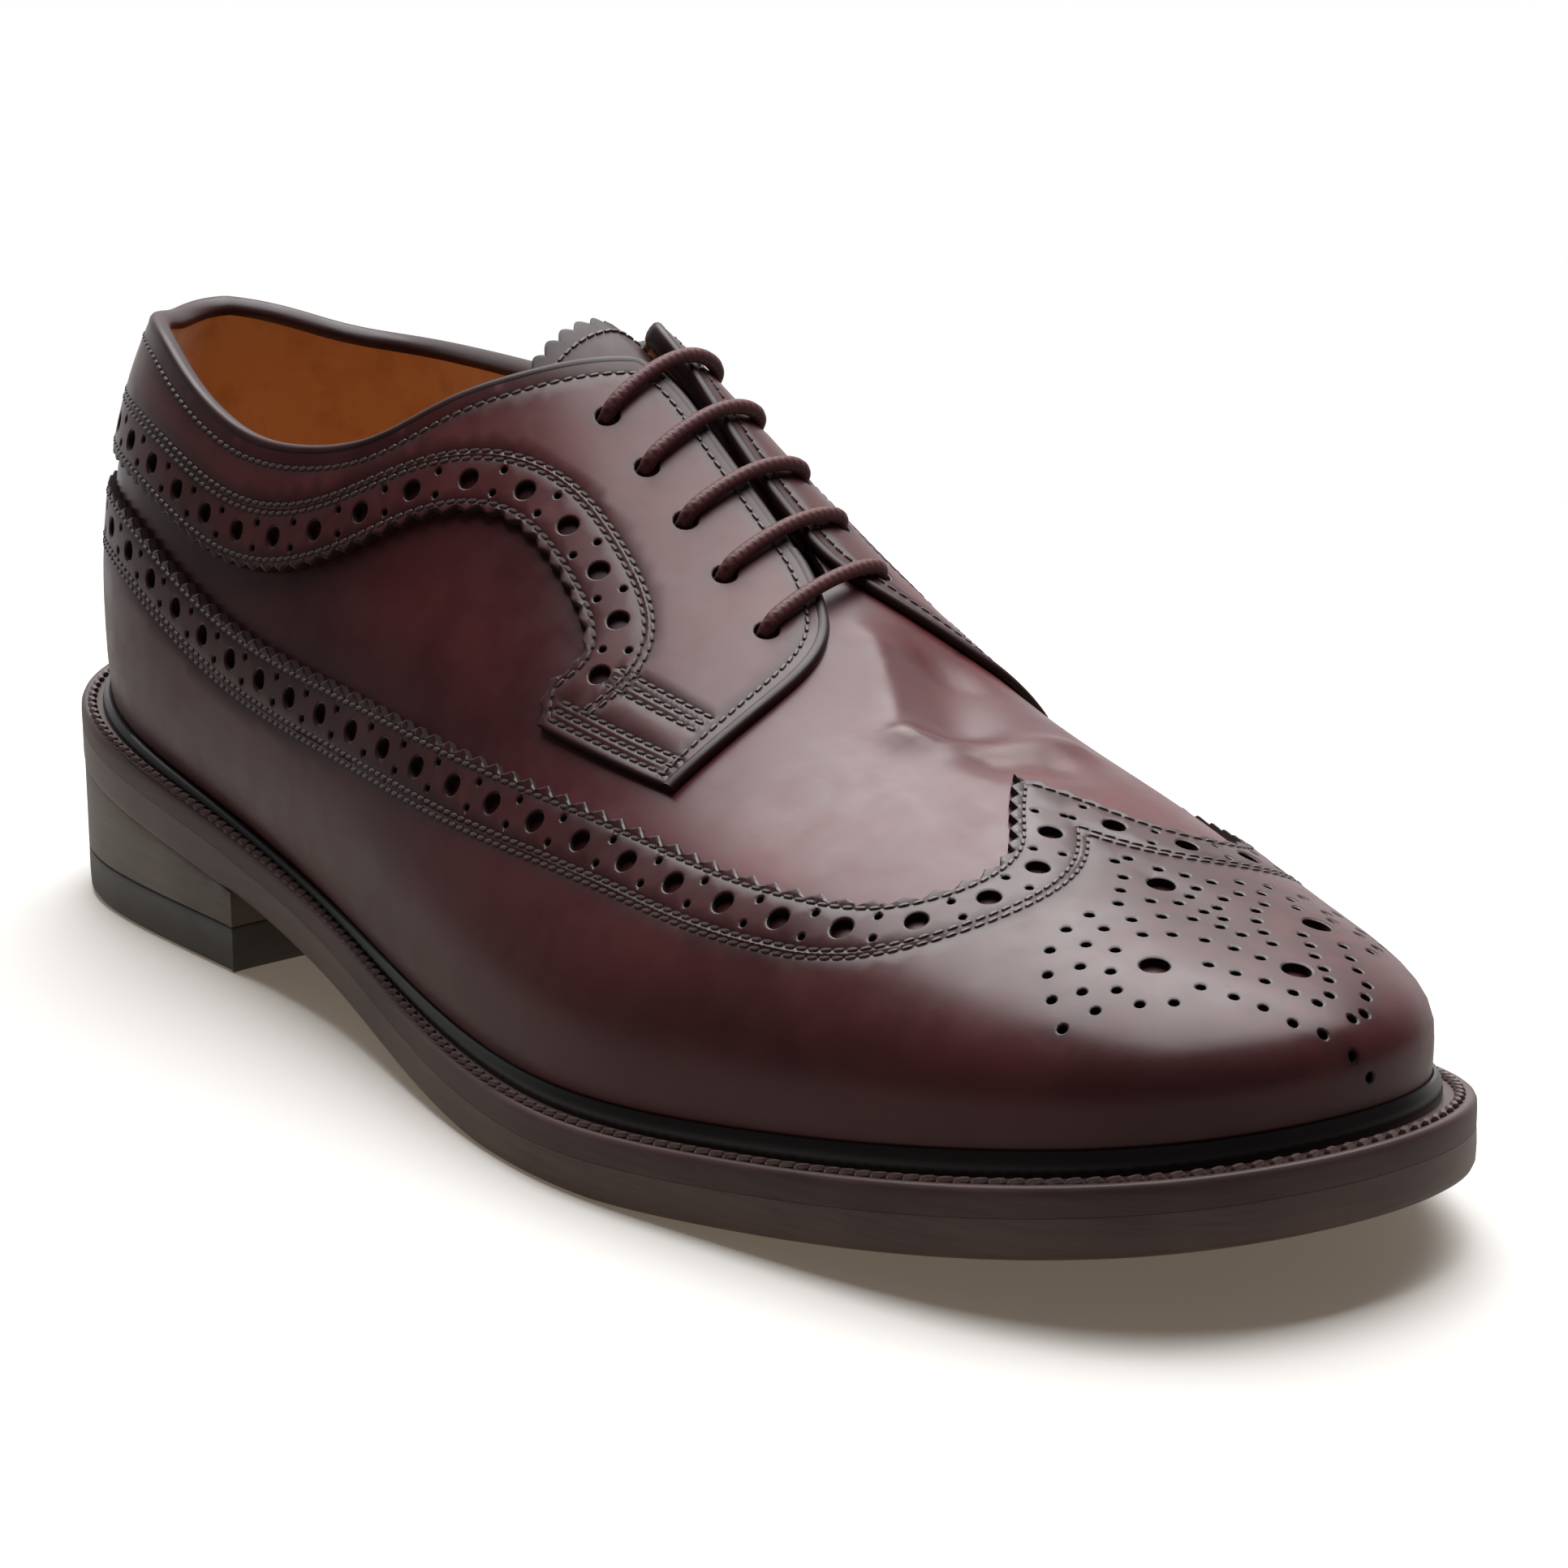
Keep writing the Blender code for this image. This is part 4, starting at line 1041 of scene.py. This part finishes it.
half_width = spline(*zip(*TONGUE_HALF_WIDTH))
across = np.linspace(-1, 1, TOOTH_POINTS * TONGUE_TEETH + 1)
teeth = TONGUE_TOOTH * np.abs(np.sin(math.pi * TONGUE_TEETH * (across + 1) / 2))
tongue_edge = TONGUE_TOP + TONGUE_TOOTH + TONGUE_ROUNDING * across ** 2
top = tongue_edge - teeth
shares = np.concatenate([np.linspace(0, FINE_SHARE, FINE_ROWS), np.linspace(FINE_SHARE, 1, PLAIN_ROWS)[1:]])
rows = [top + share * (TONGUE_FOOT - top) for share in shares]
tongue_flat = np.vstack([across_ridge(row, across * half_width(row)[:, 0]) for row in rows])
wide = len(across)
triangles = []
for i in range(len(rows) - 1):
    for corner in range(i * wide, (i + 1) * wide - 1):
        triangles.append((corner, corner + wide, corner + wide + 1))
        triangles.append((corner, corner + wide + 1, corner + 1))
sunk = np.zeros((len(rows), wide))
sunk[0] = EDGE_ROUND
sunk[:, [0, -1]] = EDGE_ROUND
tongue_calf = burnished_calf("tongue_calf", "#3a1b1e", "#4e2428", "#14090b", 0.5)
shade = np.repeat(np.exp(-np.arange(len(rows)) / TONGUE_SHADE), wide)
add_panel("tongue_flap", (tongue_flat, sunk.ravel(), shade, np.array(triangles)), *TONGUE_HEIGHTS,
          tongue_calf, "tongue_leather", ("tongue",))
row_at = tongue_edge + TONGUE_ROW[0]
tongue_row = across_ridge(row_at, across * half_width(row_at)[:, 0] * TONGUE_ROW[1])
add_sewing("tongue_stitching", [tongue_row], TONGUE_HEIGHTS[1], thread, "tongue_leather")


# Welt: a strip of dark leather sewn round the upper, with a black storm lip pressed up against it.
# The sole is sewn on through it with thick thread, and a hot wheel marks the leather between the stitches.
GAP = 0.3
SNUG = 0.05
WELT_THICK = 4.2
WELT_SEAT = 4.0
WELT_LIP = 3.3
LIP_FOOT = 3.0
LIP_IN = 1.4
LIP_WIDTH = 1.35
LIP_LEAN = 0.13
LEDGE = 0.9
GROOVE_HALF = 0.9
GROOVE_CLEAR = 0.15
GROOVE_DEEP = 0.3
GROOVE_OUT = 0.1
WELT_STITCH = (2.6, 2.45, 1.25)
WELT_SLANT = 0.45
WELT_STITCH_SIT = 0.05
AROUND = 480


def welt_frame(count):
    """Widths of the welt, and how far out, how high and how far over its lip stands, round the shoe."""
    row = STATIONS(around(count))
    width, swell = row[:, -1], row[:, 4]
    lip = WELT_LIP * (width - LIP_FOOT) / (width.max() - LIP_FOOT)
    lean = LIP_LEAN * swell * lip
    return width, np.minimum(LIP_IN + lean + LIP_WIDTH, width - LEDGE), lip, lean


def welt_loop(out, lift, count=AROUND):
    """Loop round the shoe at a distance out from the feather edge and a lift over the welt's top."""
    plan = sole_outline(out, count)
    return np.column_stack([plan, feather_height(plan[:, 0]) - GAP + lift])


def waxed_edge(name, deep, warm, line_mm, roughness, fibre):
    """Edge of sole leather, trimmed, inked and waxed: satin, with the fibres' level lines just showing."""
    material, tree = new_material(name)
    place = add_node(tree, "ShaderNodeTexCoord")
    flow = add_node(tree, "ShaderNodeMapping", {}, {
        "Vector": (place, "Object"), "Scale": (0.06, 0.06, 1.0)})
    lines = add_node(tree, "ShaderNodeTexNoise", {}, {
        "Vector": (flow, 0), "Scale": 1 / (line_mm * MM), "Detail": 4.0, "Roughness": 0.65})
    cloud = add_node(tree, "ShaderNodeTexNoise", {}, {
        "Vector": (place, "Object"), "Scale": 1 / (25 * MM), "Detail": 3.0})
    mixed = add_node(tree, "ShaderNodeMath", {"operation": "MULTIPLY_ADD"}, {
        0: (lines, "Fac"), 1: 0.7, 2: (cloud, "Fac")})
    patch = add_node(tree, "ShaderNodeMapRange", {}, {
        "Value": (mixed, 0), "From Min": 0.55, "From Max": 1.15})
    tone = add_node(tree, "ShaderNodeMix", {"data_type": "RGBA"}, {
        0: (patch, 0), 6: srgb(deep), 7: srgb(warm)})
    bump = add_node(tree, "ShaderNodeBump", {}, {
        "Strength": fibre, "Distance": 0.2 * MM, "Height": (lines, "Fac")})
    shader = add_node(tree, "ShaderNodeBsdfPrincipled", {}, {
        "Base Color": (tone, 2), "Roughness": roughness, "Normal": (bump, 0), "IOR": 1.48,
        "Coat Weight": 0.15, "Coat Roughness": 0.3})
    add_node(tree, "ShaderNodeOutputMaterial", {}, {"Surface": (shader, 0)})
    return material


# Profiles are (distance out from the feather edge, lift over the welt's top)
width, lip_out, lip, lean = welt_frame(AROUND)
middle = (lip_out + width) / 2 + GROOVE_OUT
half_groove = np.minimum(GROOVE_HALF, (width - lip_out) / 2 - GROOVE_CLEAR)
welt_profile = (
    (-WELT_SEAT, -WELT_THICK), (width, -WELT_THICK), (width + 0.02, -WELT_THICK + 0.15),
    (width + 0.05, -2.0), (width, -0.9), (width - 0.25, -0.35), (width - 0.6, -0.05),
    (middle + half_groove, 0.0), (middle, -GROOVE_DEEP), (middle - half_groove, 0.0), (lip_out + 0.1, 0.05),
    (LIP_IN, 0.0), (-WELT_SEAT, 0.0),
)
welt_leather = waxed_edge("welt_leather", "#46302f", "#664c48", 1.2, 0.5, 0.2)
loops = [welt_loop(out, lift) for out, lift in welt_profile]
add_piece("welt_strip", np.vstack(loops), swept(loops, True), welt_leather, ("welt",))

lip_top = LIP_IN + lean
storm_leather = waxed_edge("storm_leather", "#100c0c", "#201717", 3.0, 0.36, 0.05)
lip_profile = (
    (lip_out + 0.15, -0.2), (lip_out + 0.2, 0.35 * lip), (lip_out - 0.05, 0.75 * lip),
    (0.6 * lip_out + 0.4 * lip_top, 1.02 * lip), (0.25 * lip_out + 0.75 * lip_top, 1.05 * lip),
    (lip_top - 0.3, 0.9 * lip), (LIP_IN - 0.6, -0.2),
)
loops = [welt_loop(out, lift) for out, lift in lip_profile]
add_piece("storm_lip", np.vstack(loops), swept(loops, True), storm_leather)

pitch, *stitch_size = WELT_STITCH
ring = welt_loop(middle, WELT_STITCH_SIT)
ring = np.vstack([ring, ring[:1]])
edge_length = lengths(ring)
at = np.arange(0, edge_length[-1] - pitch / 2, pitch)
seats = np.column_stack([np.interp(at, edge_length, ring[:, k]) for k in range(3)])
runs = np.roll(seats, -1, axis=0) - np.roll(seats, 1, axis=0)
level = np.tile((0.0, 0.0, 1.0), (len(seats), 1))
normals = unit(np.cross(np.cross(runs, level), runs))
welt_thread = waxed_thread("welt_thread", "#47312f", "#7a605b")
add_stitches("welt_stitching", seats, normals, runs, stitch_size, WELT_SLANT, welt_thread, "welt_leather")


# Outsole: a single thick bend of oak-bark leather under the welt, its edge trimmed flush with the welt,
# inked dark brown and waxed; the tread is flat under the ball of the foot.
OUTSOLE_THICK = 5.2
TREAD_FLAT = 0.3
BREAST_X = 82.0
HEEL_SHARP = 0.15
HEEL_BLEND = 4.0
# Edge profiles here and on the heel are (set in by, share of the way down)
SOLE_PROFILE = ((0.0, 0.0), (-0.02, 0.03), (-0.05, 0.12), (-0.1, 0.45), (0.0, 0.8), (0.35, 0.93), (1.1, 1.0))


def sole_underside(x):
    """Underside of the outsole, with a flat tread under the ball of the foot."""
    stack = 2 * GAP + WELT_THICK + OUTSOLE_THICK + TREAD_FLAT
    return np.maximum(feather_height(x) - stack, 0.0)


def add_slab(name, rims, material, nodes):
    """Solid with a swept edge between its first and last loops, which are closed with flat caps."""
    count = len(rims[0])
    edges = [(i, (i + 1) % count) for i in range(count)]
    faces = swept(rims)
    for k in (0, len(rims) - 1):
        plan = rims[k][:, :2]
        result = delaunay_2d_cdt([Vector(p) for p in plan.tolist()], edges, [], 1, 1e-6)
        faces += [tuple(k * count + result[3][i][0] for i in face) for face in result[2]]
    add_piece(name, np.vstack(rims), faces, material, nodes)


def sole_rim(inset, share):
    """Loop round the outsole's edge, set in by a distance, less over the heel, at a share of the way down."""
    past_breast = sole_outline(width, AROUND)[:, 0] - BREAST_X
    kept = np.interp(past_breast, (-HEEL_BLEND, HEEL_BLEND), (HEEL_SHARP, 1))
    plan = sole_outline(width - inset * kept, AROUND)
    high = feather_height(plan[:, 0]) - GAP - WELT_THICK - SNUG
    return np.column_stack([plan, high + share * (sole_underside(plan[:, 0]) - high)])


sole_edge = waxed_edge("sole_edge", "#543e3c", "#775e59", 0.9, 0.4, 0.15)
rims = [sole_rim(inset, share) for inset, share in SOLE_PROFILE]
add_slab("leather_outsole", rims, sole_edge, ("outsole",))


# Heel: lifts of sole leather glued and nailed into a stack, trimmed as one, and a top piece of black
# rubber under them; the breast is cut slightly hollow.
BREAST_HOLLOW = 2.5
BREAST_POINTS = 25
CORNER_CLEAR = 1.0
HEEL_IN = 0.15
TOP_PIECE_THICK = 7.5
STACK_PROFILE = ((0.12, 0.0), (0.0, 0.02), (0.0, 0.35), (0.0, 0.65), (0.0, 0.96), (0.4, 1.0))
TOP_PIECE_PROFILE = ((0.2, 0.0), (0.0, 0.04), (0.0, 0.5), (0.1, 0.85), (0.9, 1.0))


def heel_outline(outline):
    """Part of a sole outline behind the breast, closed by the hollow breast line."""
    loop = outline[np.roll(np.arange(len(outline)), len(outline) // 2)]
    behind = np.flatnonzero(loop[:, 0] < BREAST_X)
    corners = []
    for near, far in ((loop[behind[0]], loop[behind[0] - 1]), (loop[behind[-1]], loop[behind[-1] + 1])):
        share = (BREAST_X - near[0]) / (far[0] - near[0])
        corners.append(near + share * (far - near))
    clear = [i for i in behind if min(np.linalg.norm(loop[i] - corner) for corner in corners) > CORNER_CLEAR]
    share = np.linspace(0, 1, BREAST_POINTS)[1:-1]
    breast = corners[1] + share[:, None] * (corners[0] - corners[1])
    breast[:, 0] -= BREAST_HOLLOW * 4 * share * (1 - share)
    return np.vstack([corners[:1], loop[clear], corners[1:], breast])


def heel_rims(profile, top, foot):
    """Loops round the heel, down a profile between two heights that are given as functions of x."""
    outer = heel_outline(sole_outline(width - HEEL_IN, AROUND))
    rims = []
    for inset, share in profile:
        plan = outer - inset * outward(outer)
        high, low = top(plan[:, 0]), foot(plan[:, 0])
        rims.append(np.column_stack([plan, high + share * (low - high)]))
    return rims


# Heel edge and top piece are painted lighter than the dark stack and the black rubber really are: painted
# light on sides that stand in shadow
heel_edge = waxed_edge("heel_edge", "#70665f", "#92877f", 0.5, 0.5, 0.3)
stack_top = lambda x: sole_underside(x) - SNUG
stack_foot = lambda x: np.full_like(x, TOP_PIECE_THICK + SNUG)
add_slab("heel_lifts", heel_rims(STACK_PROFILE, stack_top, stack_foot), heel_edge,
         ("heel_stack",))
rubber = waxed_edge("black_rubber", "#5f5d5c", "#7b7876", 1.5, 0.65, 0.1)
piece_top = lambda x: np.full_like(x, TOP_PIECE_THICK)
add_slab("rubber_top_piece", heel_rims(TOP_PIECE_PROFILE, piece_top, np.zeros_like), rubber,
         ("heel_top_piece",))


# Laces: round waxed cotton cord, braided, in five straight bars. Each bar comes up through an eyelet of
# one facing, crosses the throat and goes down through its fellow, and ends under the leather.
CORD_RADIUS = 1.18
CORD_SIDES = 12
CORD_POINTS = 48
CORD_CREASE = 60
# Run of a bar as (distance from the ridge, height over the last), and the way that its sides are set out from
CORD_PATH = ((-15.0, -1.2), (-14.8, 0.8), (-13.7, 2.1), (-11.5, 2.7), (-6, 2.85), (-1, 2.9), (4, 2.85),
             (7.4, 2.7), (9.5, 2.1), (10.6, 0.8), (10.8, -1.2))
AHEAD = (1.0, 0.0, -0.6)
# Length of a braid's repeat, and its strands each way
BRAID = (1.4, 3)


def waxed_cotton(name, deep, warm):
    """Braided cotton lace, waxed: dark and matt, with crossing strands that stand up as small lozenges."""
    material, tree = new_material(name)
    along = add_node(tree, "ShaderNodeAttribute", {"attribute_name": "along"})
    round_cord = add_node(tree, "ShaderNodeAttribute", {"attribute_name": "around"})
    waves = []
    for turn in (BRAID[1], -BRAID[1]):
        scaled = add_node(tree, "ShaderNodeMath", {"operation": "MULTIPLY"}, {
            0: (round_cord, "Fac"), 1: float(turn)})
        phase = add_node(tree, "ShaderNodeMath", {"operation": "MULTIPLY_ADD"}, {
            0: (along, "Fac"), 1: 2 * math.pi / BRAID[0], 2: (scaled, 0)})
        waves.append(add_node(tree, "ShaderNodeMath", {"operation": "SINE"}, {0: (phase, 0)}))
    strands = add_node(tree, "ShaderNodeMath", {"operation": "MAXIMUM"}, {0: (waves[0], 0), 1: (waves[1], 0)})
    ridge = add_node(tree, "ShaderNodeMapRange", {}, {
        "Value": (strands, 0), "From Min": -0.6, "From Max": 1.0})
    # The strands' tops are lighter and the hollows between them darker: painted shade in the hollows
    tone = add_node(tree, "ShaderNodeMix", {"data_type": "RGBA"}, {
        0: (ridge, 0), 6: srgb(deep), 7: srgb(warm)})
    bump = add_node(tree, "ShaderNodeBump", {}, {"Strength": 0.3, "Distance": 0.2 * MM, "Height": (ridge, 0)})
    shader = add_node(tree, "ShaderNodeBsdfPrincipled", {}, {
        "Base Color": (tone, 2), "Roughness": 0.55, "Normal": (bump, 0), "IOR": 1.45, "Sheen Weight": 0.05})
    add_node(tree, "ShaderNodeOutputMaterial", {}, {"Surface": (shader, 0)})
    return material


lace_cotton = waxed_cotton("waxed_cotton", "#451b1d", "#663033")
turns = 2 * math.pi * np.arange(CORD_SIDES) / CORD_SIDES
route = spline(np.linspace(0, 1, len(CORD_PATH)), CORD_PATH)(np.linspace(0, 1, CORD_POINTS))
for k, ends in enumerate(zip(EYELETS["lateral"], EYELETS["medial"]), 1):
    station = np.interp(route[:, 0], (-EYELET_GIRTH["lateral"], EYELET_GIRTH["medial"]), ends)
    path = lay(across_ridge(station, route[:, 0]), route[:, 1])[0]
    run = unit(np.gradient(path, axis=0))
    ahead = np.tile(unit(np.array([AHEAD])), (CORD_POINTS, 1))
    side = unit(ahead - (ahead * run).sum(axis=1)[:, None] * run)
    rise = np.cross(run, side)
    out = np.cos(turns)[None, :, None] * side[:, None] + np.sin(turns)[None, :, None] * rise[:, None]
    loops = path[:, None] + CORD_RADIUS * out
    braid = {"along": np.repeat(lengths(path), CORD_SIDES), "around": np.tile(turns, CORD_POINTS)}
    add_piece("lace_%d" % k, loops.reshape(-1, 3), swept(loops) + end_caps(loops), lace_cotton,
              ("lace_bar_%d" % k,), braid, CORD_CREASE)


# Floor: a sheet of pale studio paper under the shoe. It fades out to the white round it. It is white to the
# camera and mid grey to everything else, so that the leather low down stays dark, and it glows faintly warm:
# painted light that lifts the shadow under the shoe.
FLOOR = 1.2
FLOOR_FADE = (0.15, 0.45)
FLOOR_REACH = (0.1, 0.0, 0.0)

paper, tree = new_material("studio_paper")
place = add_node(tree, "ShaderNodeTexCoord")
spread = add_node(tree, "ShaderNodeVectorMath", {"operation": "ABSOLUTE"}, {0: (place, "Object")})
beyond = add_node(tree, "ShaderNodeVectorMath", {"operation": "SUBTRACT"}, {0: (spread, 0), 1: FLOOR_REACH})
beyond = add_node(tree, "ShaderNodeVectorMath", {"operation": "MAXIMUM"}, {
    0: (beyond, 0), 1: (0.0, 0.0, 0.0)})
away = add_node(tree, "ShaderNodeVectorMath", {"operation": "LENGTH"}, {0: (beyond, 0)})
fade = add_node(tree, "ShaderNodeMapRange", {"interpolation_type": "SMOOTHSTEP"}, {
    "Value": (away, "Value"), "From Min": FLOOR_FADE[0], "From Max": FLOOR_FADE[1]})
seen = add_node(tree, "ShaderNodeLightPath")
paper_tone = add_node(tree, "ShaderNodeMix", {"data_type": "RGBA"}, {
    0: (seen, "Is Camera Ray"), 6: srgb("#868583"), 7: srgb("#f4f3f1")})
# The faint warm emission is painted light in the floor's shadow
sheet = add_node(tree, "ShaderNodeBsdfPrincipled", {}, {
    "Base Color": (paper_tone, 2), "Roughness": 0.9, "Emission Color": srgb("#ffe8cc"),
    "Emission Strength": 0.11})
clear = add_node(tree, "ShaderNodeBsdfTransparent")
shader = add_node(tree, "ShaderNodeMixShader", {}, {0: (fade, 0), 1: (sheet, 0), 2: (clear, 0)})
add_node(tree, "ShaderNodeOutputMaterial", {}, {"Surface": (shader, 0)})
floor_mesh = bpy.data.meshes.new("studio_floor")
floor_mesh.from_pydata([(-FLOOR, -FLOOR, 0), (FLOOR, -FLOOR, 0), (FLOOR, FLOOR, 0), (-FLOOR, FLOOR, 0)],
                       [], [(0, 1, 2, 3)])
floor_mesh.materials.append(paper)
floor = bpy.data.objects.new("studio_floor", floor_mesh)
bpy.context.scene.collection.objects.link(floor)


# Light: one wide softbox hung flat over the shoe's inner side, and a pale wall low behind it on the left.
# The rest of the room is dark for what the leather mirrors, and white for the camera.
BEHIND = (-0.82, 0.55, 0.15)
SOFTBOX_SPOT = (-0.4, 0.42, 1.1)
SOFTBOX_SIZE = (1.4, 1.2)
SOFTBOX_WATTS = 29.0

sky = bpy.data.worlds.new("studio")
sky.use_nodes = True
sky.node_tree.nodes.clear()
place = add_node(sky.node_tree, "ShaderNodeTexCoord")
toward = add_node(sky.node_tree, "ShaderNodeVectorMath", {"operation": "DOT_PRODUCT"}, {
    0: (place, "Generated"), 1: BEHIND})
behind = add_node(sky.node_tree, "ShaderNodeMapRange", {"interpolation_type": "SMOOTHSTEP"}, {
    "Value": (toward, "Value"), "From Min": 0.42, "From Max": 0.92, "To Min": 0.05, "To Max": 0.85})
seen = add_node(sky.node_tree, "ShaderNodeLightPath")
glow = add_node(sky.node_tree, "ShaderNodeMix", {"data_type": "FLOAT"}, {
    0: (seen, "Is Camera Ray"), 2: (behind, 0), 3: 1.0})
backdrop = add_node(sky.node_tree, "ShaderNodeBackground", {}, {
    "Strength": (glow, 0), "Color": srgb("#ffffff")})
add_node(sky.node_tree, "ShaderNodeOutputWorld", {}, {"Surface": (backdrop, 0)})
bpy.context.scene.world = sky
lamp = bpy.data.lights.new("overhead_softbox", "AREA")
lamp.shape = "RECTANGLE"
lamp.size, lamp.size_y = SOFTBOX_SIZE
lamp.energy = SOFTBOX_WATTS
softbox = bpy.data.objects.new("overhead_softbox", lamp)
softbox.location = SOFTBOX_SPOT
bpy.context.scene.collection.objects.link(softbox)


# Camera: fitted to the photograph with the last. It stands where that one stood, and is turned to put the
# shoe in the middle of the frame, a little larger. Pixels are the photograph's.
AIM = (150, 0, 45)
AZIMUTH, ELEVATION, ROLL = 55.662, 13.459, -1.023
DISTANCE = 696.24
FOCAL = 4723.5
SHIFT = (-314.1, 1.25)
FRAME_SIDE = 1932
CENTRE = (765, 1010)
SCALE = 1.2
SENSOR = 36.0

azimuth, elevation, roll = (math.radians(angle) for angle in (AZIMUTH, ELEVATION, ROLL))
back = np.array([math.sin(azimuth) * math.cos(elevation), -math.cos(azimuth) * math.cos(elevation),
                 math.sin(elevation)])
right = np.array([math.cos(azimuth), math.sin(azimuth), 0.0])
up = np.cross(back, right)
right, up = math.cos(roll) * right + math.sin(roll) * up, math.cos(roll) * up - math.sin(roll) * right
eye = (np.array(AIM) - ORIGIN + DISTANCE * back) * MM
across, down = ((at - FRAME_SIDE / 2 - shift) / FOCAL for at, shift in zip(CENTRE, SHIFT))
look = across * right - down * up
back = -(look - back) / np.linalg.norm(look - back)
right = right - (right @ back) * back
right /= np.linalg.norm(right)
up = np.cross(back, right)
lens = bpy.data.cameras.new("studio_camera")
lens.sensor_width = SENSOR
lens.lens = SCALE * FOCAL / FRAME_SIDE * SENSOR
camera = bpy.data.objects.new("studio_camera", lens)
camera.matrix_world = Matrix([(*row, 0.0) for row in (right, up, back)] + [(0, 0, 0, 1)]).transposed()
camera.location = Vector(eye)
bpy.context.scene.collection.objects.link(camera)
bpy.context.scene.camera = camera
bpy.context.scene.view_settings.view_transform = "Standard"
